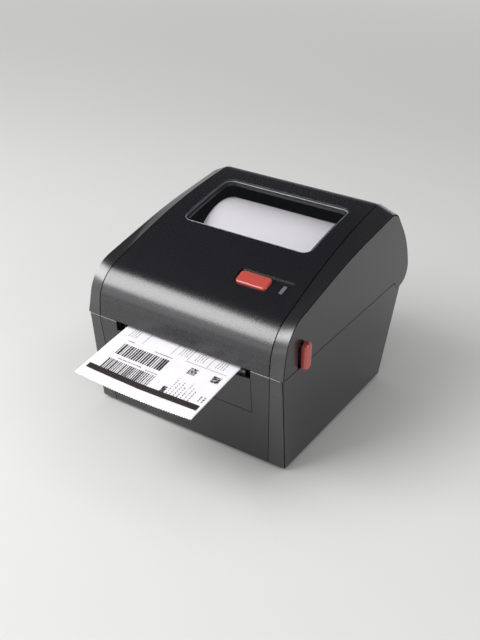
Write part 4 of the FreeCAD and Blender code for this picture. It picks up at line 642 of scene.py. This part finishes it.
def printed_rows():
    """Rows of the print: start, step, count, smallest and largest bar, all in mm, and seed."""
    band = (99.5, 5.2)
    rows = [((0.3, -148.8), (0.1, 0, 0), 1, band, band, 1)]
    # Two bar codes.
    rows.append(((-40.0, -122.7), (2.15, 0, 0), 20, (0.5, 12.6), (1.95, 12.6), 5))
    rows.append(((-39.8, -140.6), (1.75, 0, 0), 25, (0.45, 11.8), (1.55, 11.8), 9))
    # Two square codes, a dark block and two large characters.
    for middle, seed in (((24.0, -118.6), 20), ((44.2, -118.6), 40)):
        for i in range(7):
            start = (middle[0] - 3.0 + i, middle[1] - 3.0)
            rows.append((start, (0, 1.0, 0), 7, (0.32, 0.3), (1.38, 1.28), seed + i))
    for i in range(3):
        start = (14.6 + 1.3 * i, -145.6)
        rows.append((start, (0, 1.0, 0), 6, (0.7, 0.8), (1.5, 1.3), 60 + i))
    for i in range(2):
        start = (45.5 + 3.2 * i, -142.3)
        rows.append((start, (0, 2.1, 0), 3, (0.5, 1.2), (1.9, 1.9), 70 + i))
    # Ruled lines of the head of the label.
    upright, across = (0.3, 14.0), (36.0, 0.3)
    for x in (-28.6, -2.0, 12.6, 30.4):
        rows.append(((x, -103.2), (0, 0.1, 0), 1, upright, upright, 3))
    rows.append(((30.5, -111.0), (0.1, 0, 0), 1, across, across, 4))
    # Fine text in its fields, down the label and along the bar codes.
    for x in (-44.0, 3.6, 18.0, 36.0):
        for i in range(4):
            start = (x + 2.2 * i, -107.0)
            rows.append((start, (0, 1.5, 0), 6, (0.45, 0.5), (0.6, 1.3), 80 + i))
    for i, count in enumerate((8, 6, 7, 5, 8, 6, 5)):
        start = (20.0 + 3.1 * i, -145.0)
        rows.append((start, (0, 2.3, 0), count, (0.5, 0.6), (0.7, 2.0), 100 + i))
    for y, x, count in ((-113.4, -14.0, 15), (-132.2, -34.0, 20), (-133.0, -8.0, 10),
                        (-112.6, -40.0, 6)):
        rows.append(((x, y), (1.1, 0, 0), count, (0.4, 0.7), (0.8, 1.1), 120 + count))
    return rows


def label_ink(label):
    """Mesh of all the print on the label."""
    tree = bar_tree()
    joined = bmesh.new()
    for row_shape in printed_rows():
        row = print_row(tree, label, *row_shape)
        joined.from_mesh(row)
        bpy.data.meshes.remove(row)
    return mesh_of(joined, "label_print", "ink")


class PRINTER_OT_base(bpy.types.Operator):
    """Dresses the base, its front insert, bottom plate, feet and ports"""

    bl_idname = "printer.base"
    bl_label = "Base"

    def execute(self, context):
        edge, thin_edge = sizes().edge, sizes().thin_edge
        # The rounded edges of the base carry a painted highlight.
        base = moulding("base_shell", "base_moulding",
                        ("charcoal", "charcoal_edge", "painted_line_shade", "band"), edge,
                        lambda bm: line_corners(bm, 2))
        refinish_bands(base, 3)
        moulding("front_insert", "front_insert_moulding", ("charcoal", "charcoal_edge"), edge)
        for node, finish_name, rounding in (
                ("bottom_plate", "inner", thin_edge), ("media_tray", "inner", thin_edge),
                ("switch_housing", "socket", thin_edge), ("switch_rocker", "socket", edge),
                ("roll_holder_right", "holder", thin_edge),
                ("roll_holder_left", "holder", thin_edge)):
            moulding(node, node + "_moulding", (finish_name,), rounding)
        dress("foot", "rubber_feet")
        dress("socket", "power_inlet")
        dress("tin", "data_socket")
        dress("steel", "bottom_screws", "tear_bar")
        return {"FINISHED"}


class PRINTER_OT_cover(bpy.types.Operator):
    """Dresses the cover, its top panel, window and light pipe"""

    bl_idname = "printer.cover"
    bl_label = "Cover"

    def execute(self, context):
        edge = sizes().edge
        # The rounded edges of the cover carry a painted highlight.
        cover = moulding("cover_frame", "cover_moulding",
                         ("charcoal", "charcoal_edge", "ledge", "painted_line_shade", "band"), edge,
                         lambda bm: line_cheeks(bm, sizes().cheek_line, 3))
        refinish_bands(cover, 4)
        # The ledge below the window and the wall of its opening are a plain dull black, darker than
        # the cover: painted shade in the opening.
        refinish_opening(cover, "window", 2)
        panel = moulding("top_panel", "top_panel_moulding", ("panel", "panel_edge", "ledge"), edge)
        # The wall of the panel's opening takes the same painted shade.
        refinish_opening(panel, "window", 2)
        # The pane's bevel carries a painted highlight.
        moulding("window", "window_pane", ("clear", "pane_edge"), sizes().pane_edge)
        moulding("light_pipe", "light_pipe_lens", ("lamp",), sizes().thin_edge)
        dress("steel", "hinge_pins")
        return {"FINISHED"}


class PRINTER_OT_red_parts(bpy.types.Operator):
    """Dresses the feed button and the two release levers"""

    bl_idname = "printer.red_parts"
    bl_label = "Button and latches"

    def execute(self, context):
        thin_edge = sizes().thin_edge
        # The rounded edges of the button and the tabs carry a painted highlight.
        moulding("feed_button", "feed_button_cap", ("red", "red_edge"), thin_edge)
        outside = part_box("base_shell")[1].x
        for side in ("right", "left"):
            lever = moulding("latch_lever_" + side, "latch_%s_moulding" % side,
                             ("red", "red_edge", "inner"), thin_edge)
            # The lever is one red moulding; behind the red tab it takes the dark grey of the inner
            # parts, as painted shade where it sits in the cover's opening.
            for face in lever.data.polygons:
                if abs(face.center.x) < outside:
                    face.material_index = 2
        return {"FINISHED"}


class PRINTER_OT_roll(bpy.types.Operator):
    """Builds the label roll on its core"""

    bl_idname = "printer.roll"
    bl_label = "Label roll"

    def execute(self, context):
        low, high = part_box("label_roll")
        axis = (low + high) / 2
        outer = (high.z - low.z) / 2
        inner = (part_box("roll_core")[1].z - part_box("roll_core")[0].z) / 2
        # Half outline from the core to the outside, as (in from the end, radius): the ends are
        # dished a little where the windings slipped.
        end = ((0.2 * MM, inner), (0.5 * MM, (inner + outer) / 2), (0.1 * MM, outer - MM),
               (0.3 * MM, outer))
        profile = [(low.x + inset, radius) for inset, radius in end]
        profile += [(high.x - inset, radius) for inset, radius in reversed(end)]
        bm = bmesh.new()
        steps = 160
        rings = []
        for i in range(steps):
            angle = 2 * math.pi * i / steps
            rings.append([bm.verts.new((x, axis.y + radius * math.cos(angle),
                                        axis.z + radius * math.sin(angle)))
                          for x, radius in profile])
        count = len(profile)
        for i in range(steps):
            here = rings[i]
            there = rings[(i + 1) % steps]
            for j in range(count):
                k = (j + 1) % count
                bm.faces.new((here[j], there[j], there[k], here[k]))
        bmesh.ops.recalc_face_normals(bm, faces=bm.faces)
        soften(bm, ROLL_SHARP_FROM)
        piece = show("label_roll_wound", mesh_of(bm, "label_roll_wound", "roll"))
        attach(piece, "roll")
        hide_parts("label_roll")
        dress("card", "roll_core")
        return {"FINISHED"}


class PRINTER_OT_label(bpy.types.Operator):
    """Builds the printed label strip with its torn end"""

    bl_idname = "printer.label"
    bl_label = "Label"

    def execute(self, context):
        piece = show("label_strip_sheet", label_sheet())
        thicken(piece, "paper_thickness", 0.2 * MM)
        bpy.context.view_layer.update()
        print_piece = show("label_print", label_ink(piece))
        thicken(print_piece, "print_thickness", 0.04 * MM)
        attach(piece, "base")
        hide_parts("label_strip")
        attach(print_piece, "base")
        return {"FINISHED"}


class PRINTER_OT_drive(bpy.types.Operator):
    """Dresses the paper drive, the print head and the boards"""

    bl_idname = "printer.drive"
    bl_label = "Drive and head"

    def execute(self, context):
        dress("platen", "platen_rubber")
        dress("steel", "platen_shaft", "drive_plate_left", "drive_plate_right", "idler_post",
              "motor_shaft", "head_bracket")
        dress("bright", "latch_springs", "head_springs")
        dress("acetal", "platen_gear", "idler_gear", "motor_pinion", "holder_pinion",
              "platen_bushes")
        dress("motor", "drive_motor")
        dress("holder", "gap_sensor")
        dress("board", "main_board", "key_board")
        dress("brass", "board_standoffs")
        dress("ceramic", "thermal_head")
        dress("aluminium", "head_heat_sink")
        return {"FINISHED"}


def backdrop():
    # Seamless paper sweep: a pale even floor that still takes the object's soft shadow.
    material = mottled("paper_backdrop", srgb("#e4e4e2"), 0.85, 40.0, 0.01, 0.0, 0.01, 400.0)
    tree, shader, place = parts_of(material)
    rays = add_node(tree, "ShaderNodeLightPath")
    shiny = add_node(tree, "ShaderNodeMath", {"operation": "MAXIMUM"},
                     {0: rays.outputs["Is Glossy Ray"], 1: rays.outputs["Is Transmission Ray"]})
    seen = add_node(tree, "ShaderNodeMath", {"operation": "MAXIMUM"},
                    {0: rays.outputs["Is Camera Ray"], 1: shiny.outputs["Value"]})
    # Away from the object the sweep glows more, so that it meets the walls without a dark band.
    away = add_node(tree, "ShaderNodeVectorMath", {"operation": "LENGTH"}, {0: place})
    part = add_node(tree, "ShaderNodeMapRange",
                    {"From Min": 0.8, "From Max": 3.0, "To Min": 0.36, "To Max": 0.9},
                    {"Value": away.outputs["Value"]})
    share = add_node(tree, "ShaderNodeMath", {"operation": "MULTIPLY"},
                     {0: seen.outputs["Value"], 1: part.outputs["Result"]})
    # Painted contact shadow: the glow dims where the object stands close over the floor.
    cover = add_node(tree, "ShaderNodeAmbientOcclusion", {"samples": 8, "Distance": 0.12})
    depth = add_node(tree, "ShaderNodeMath", {"operation": "POWER", 1: 1.3},
                     {0: cover.outputs["AO"]})
    glow = add_node(tree, "ShaderNodeEmission", {"Color": opaque("#e9e9e8")},
                    {"Strength": depth.outputs["Value"]})
    mixed = add_node(tree, "ShaderNodeMixShader", {},
                     {0: share.outputs["Value"], 1: shader.outputs["BSDF"],
                      2: glow.outputs["Emission"]})
    tree.links.new(mixed.outputs["Shader"], tree.nodes["Material Output"].inputs["Surface"])
    return material


def studio_walls():
    """World of pale walls under a dim ceiling; a brighter wall behind lights the object's back."""
    world = bpy.data.worlds.new("studio")
    world.use_nodes = True
    sky = world.node_tree
    walls = sky.nodes["Background"].inputs
    walls["Color"].default_value = opaque("#f0f1f4")
    facing = add_node(sky, "ShaderNodeTexCoord")
    way = add_node(sky, "ShaderNodeSeparateXYZ", {}, {"Vector": facing.outputs["Generated"]})
    level = add_node(sky, "ShaderNodeMapRange",
                     {"From Min": 0.08, "From Max": 0.45, "To Min": 0.74, "To Max": 0.07},
                     {"Value": way.outputs["Z"]})
    rear = add_node(sky, "ShaderNodeMapRange",
                    {"From Min": 0.86, "From Max": 0.98, "To Min": 0.0, "To Max": 1.2},
                    {"Value": way.outputs["Y"]})
    both = add_node(sky, "ShaderNodeMath", {"operation": "ADD"},
                    {0: level.outputs["Result"], 1: rear.outputs["Result"]})
    sky.links.new(both.outputs["Value"], walls["Strength"])
    return world


def softbox(name, place, size, power):
    """A rectangular studio lamp that faces the front of the object."""
    lamp = bpy.data.lights.new(name, "AREA")
    lamp.shape = "RECTANGLE"
    lamp.size, lamp.size_y = size
    lamp.energy = power
    holder = bpy.data.objects.new(name, lamp)
    bpy.context.scene.collection.objects.link(holder)
    holder.location = place
    aim = Vector(LAMPS_AIM) - Vector(place)
    holder.rotation_euler = aim.to_track_quat("-Z", "Y").to_euler()


def photo_camera():
    """The photograph's camera, with its small roll."""
    azimuth, elevation, roll = (math.radians(a) for a in (VIEW_AZIMUTH, VIEW_ELEVATION, VIEW_ROLL))
    back = Vector((math.sin(azimuth) * math.cos(elevation),
                   -math.cos(azimuth) * math.cos(elevation), math.sin(elevation)))
    right = Vector((math.cos(azimuth), math.sin(azimuth), 0.0))
    up = back.cross(right)
    turned_right = right * math.cos(roll) + up * math.sin(roll)
    turned_up = up * math.cos(roll) - right * math.sin(roll)
    lens = bpy.data.cameras.new("camera")
    lens.lens = VIEW_LENS
    lens.sensor_width = VIEW_SENSOR
    lens.sensor_fit = "AUTO"
    camera = bpy.data.objects.new("camera", lens)
    bpy.context.scene.collection.objects.link(camera)
    pose = Matrix((turned_right, turned_up, back)).transposed().to_4x4()
    pose.translation = Vector(VIEW_TARGET) * MM + back * VIEW_DISTANCE * MM
    camera.matrix_world = pose
    return camera


class PRINTER_OT_stage(bpy.types.Operator):
    """Sets the floor, the lamps, the world and the camera"""

    bl_idname = "printer.stage"
    bl_label = "Stage"

    def execute(self, context):
        scene = context.scene
        scene.view_settings.view_transform = "Standard"
        bm = bmesh.new()
        bmesh.ops.create_grid(bm, x_segments=1, y_segments=1, size=FLOOR_HALF)
        floor = mesh_of(bm, "floor")
        floor.materials.append(backdrop())
        show("floor", floor)
        scene.world = studio_walls()
        for name, place, size, power in LAMPS:
            softbox(name, place, size, power)
        scene.camera = photo_camera()
        return {"FINISHED"}


STEPS = (PRINTER_OT_base, PRINTER_OT_cover, PRINTER_OT_red_parts, PRINTER_OT_roll,
         PRINTER_OT_label, PRINTER_OT_drive, PRINTER_OT_stage)


class PRINTER_PT_panel(bpy.types.Panel):
    """Lists the printer's operators and its colours and sizes"""

    bl_idname = "PRINTER_PT_panel"
    bl_label = "Label printer"
    bl_space_type = "VIEW_3D"
    bl_region_type = "UI"
    bl_category = "Label printer"

    def draw(self, context):
        for group in (colours(), sizes()):
            for name in group.__annotations__:
                self.layout.prop(group, name)
        for step in STEPS:
            self.layout.operator(step.bl_idname)


CLASSES = (PrinterColours, PrinterSizes) + STEPS + (PRINTER_PT_panel,)


def register():
    """Adds the classes and the scene's settings."""
    for item in CLASSES:
        bpy.utils.register_class(item)
    bpy.types.Scene.printer_colours = bpy.props.PointerProperty(type=PrinterColours)
    bpy.types.Scene.printer_sizes = bpy.props.PointerProperty(type=PrinterSizes)


def unregister():
    """Removes the scene's settings and the classes."""
    del bpy.types.Scene.printer_sizes
    del bpy.types.Scene.printer_colours
    for item in reversed(CLASSES):
        bpy.utils.unregister_class(item)


def main():
    """Builds the printer."""
    register()
    bpy.ops.printer.base()
    bpy.ops.printer.cover()
    bpy.ops.printer.red_parts()
    bpy.ops.printer.roll()
    bpy.ops.printer.label()
    bpy.ops.printer.drive()
    bpy.ops.printer.stage()


if __name__ == "__main__":
    main()
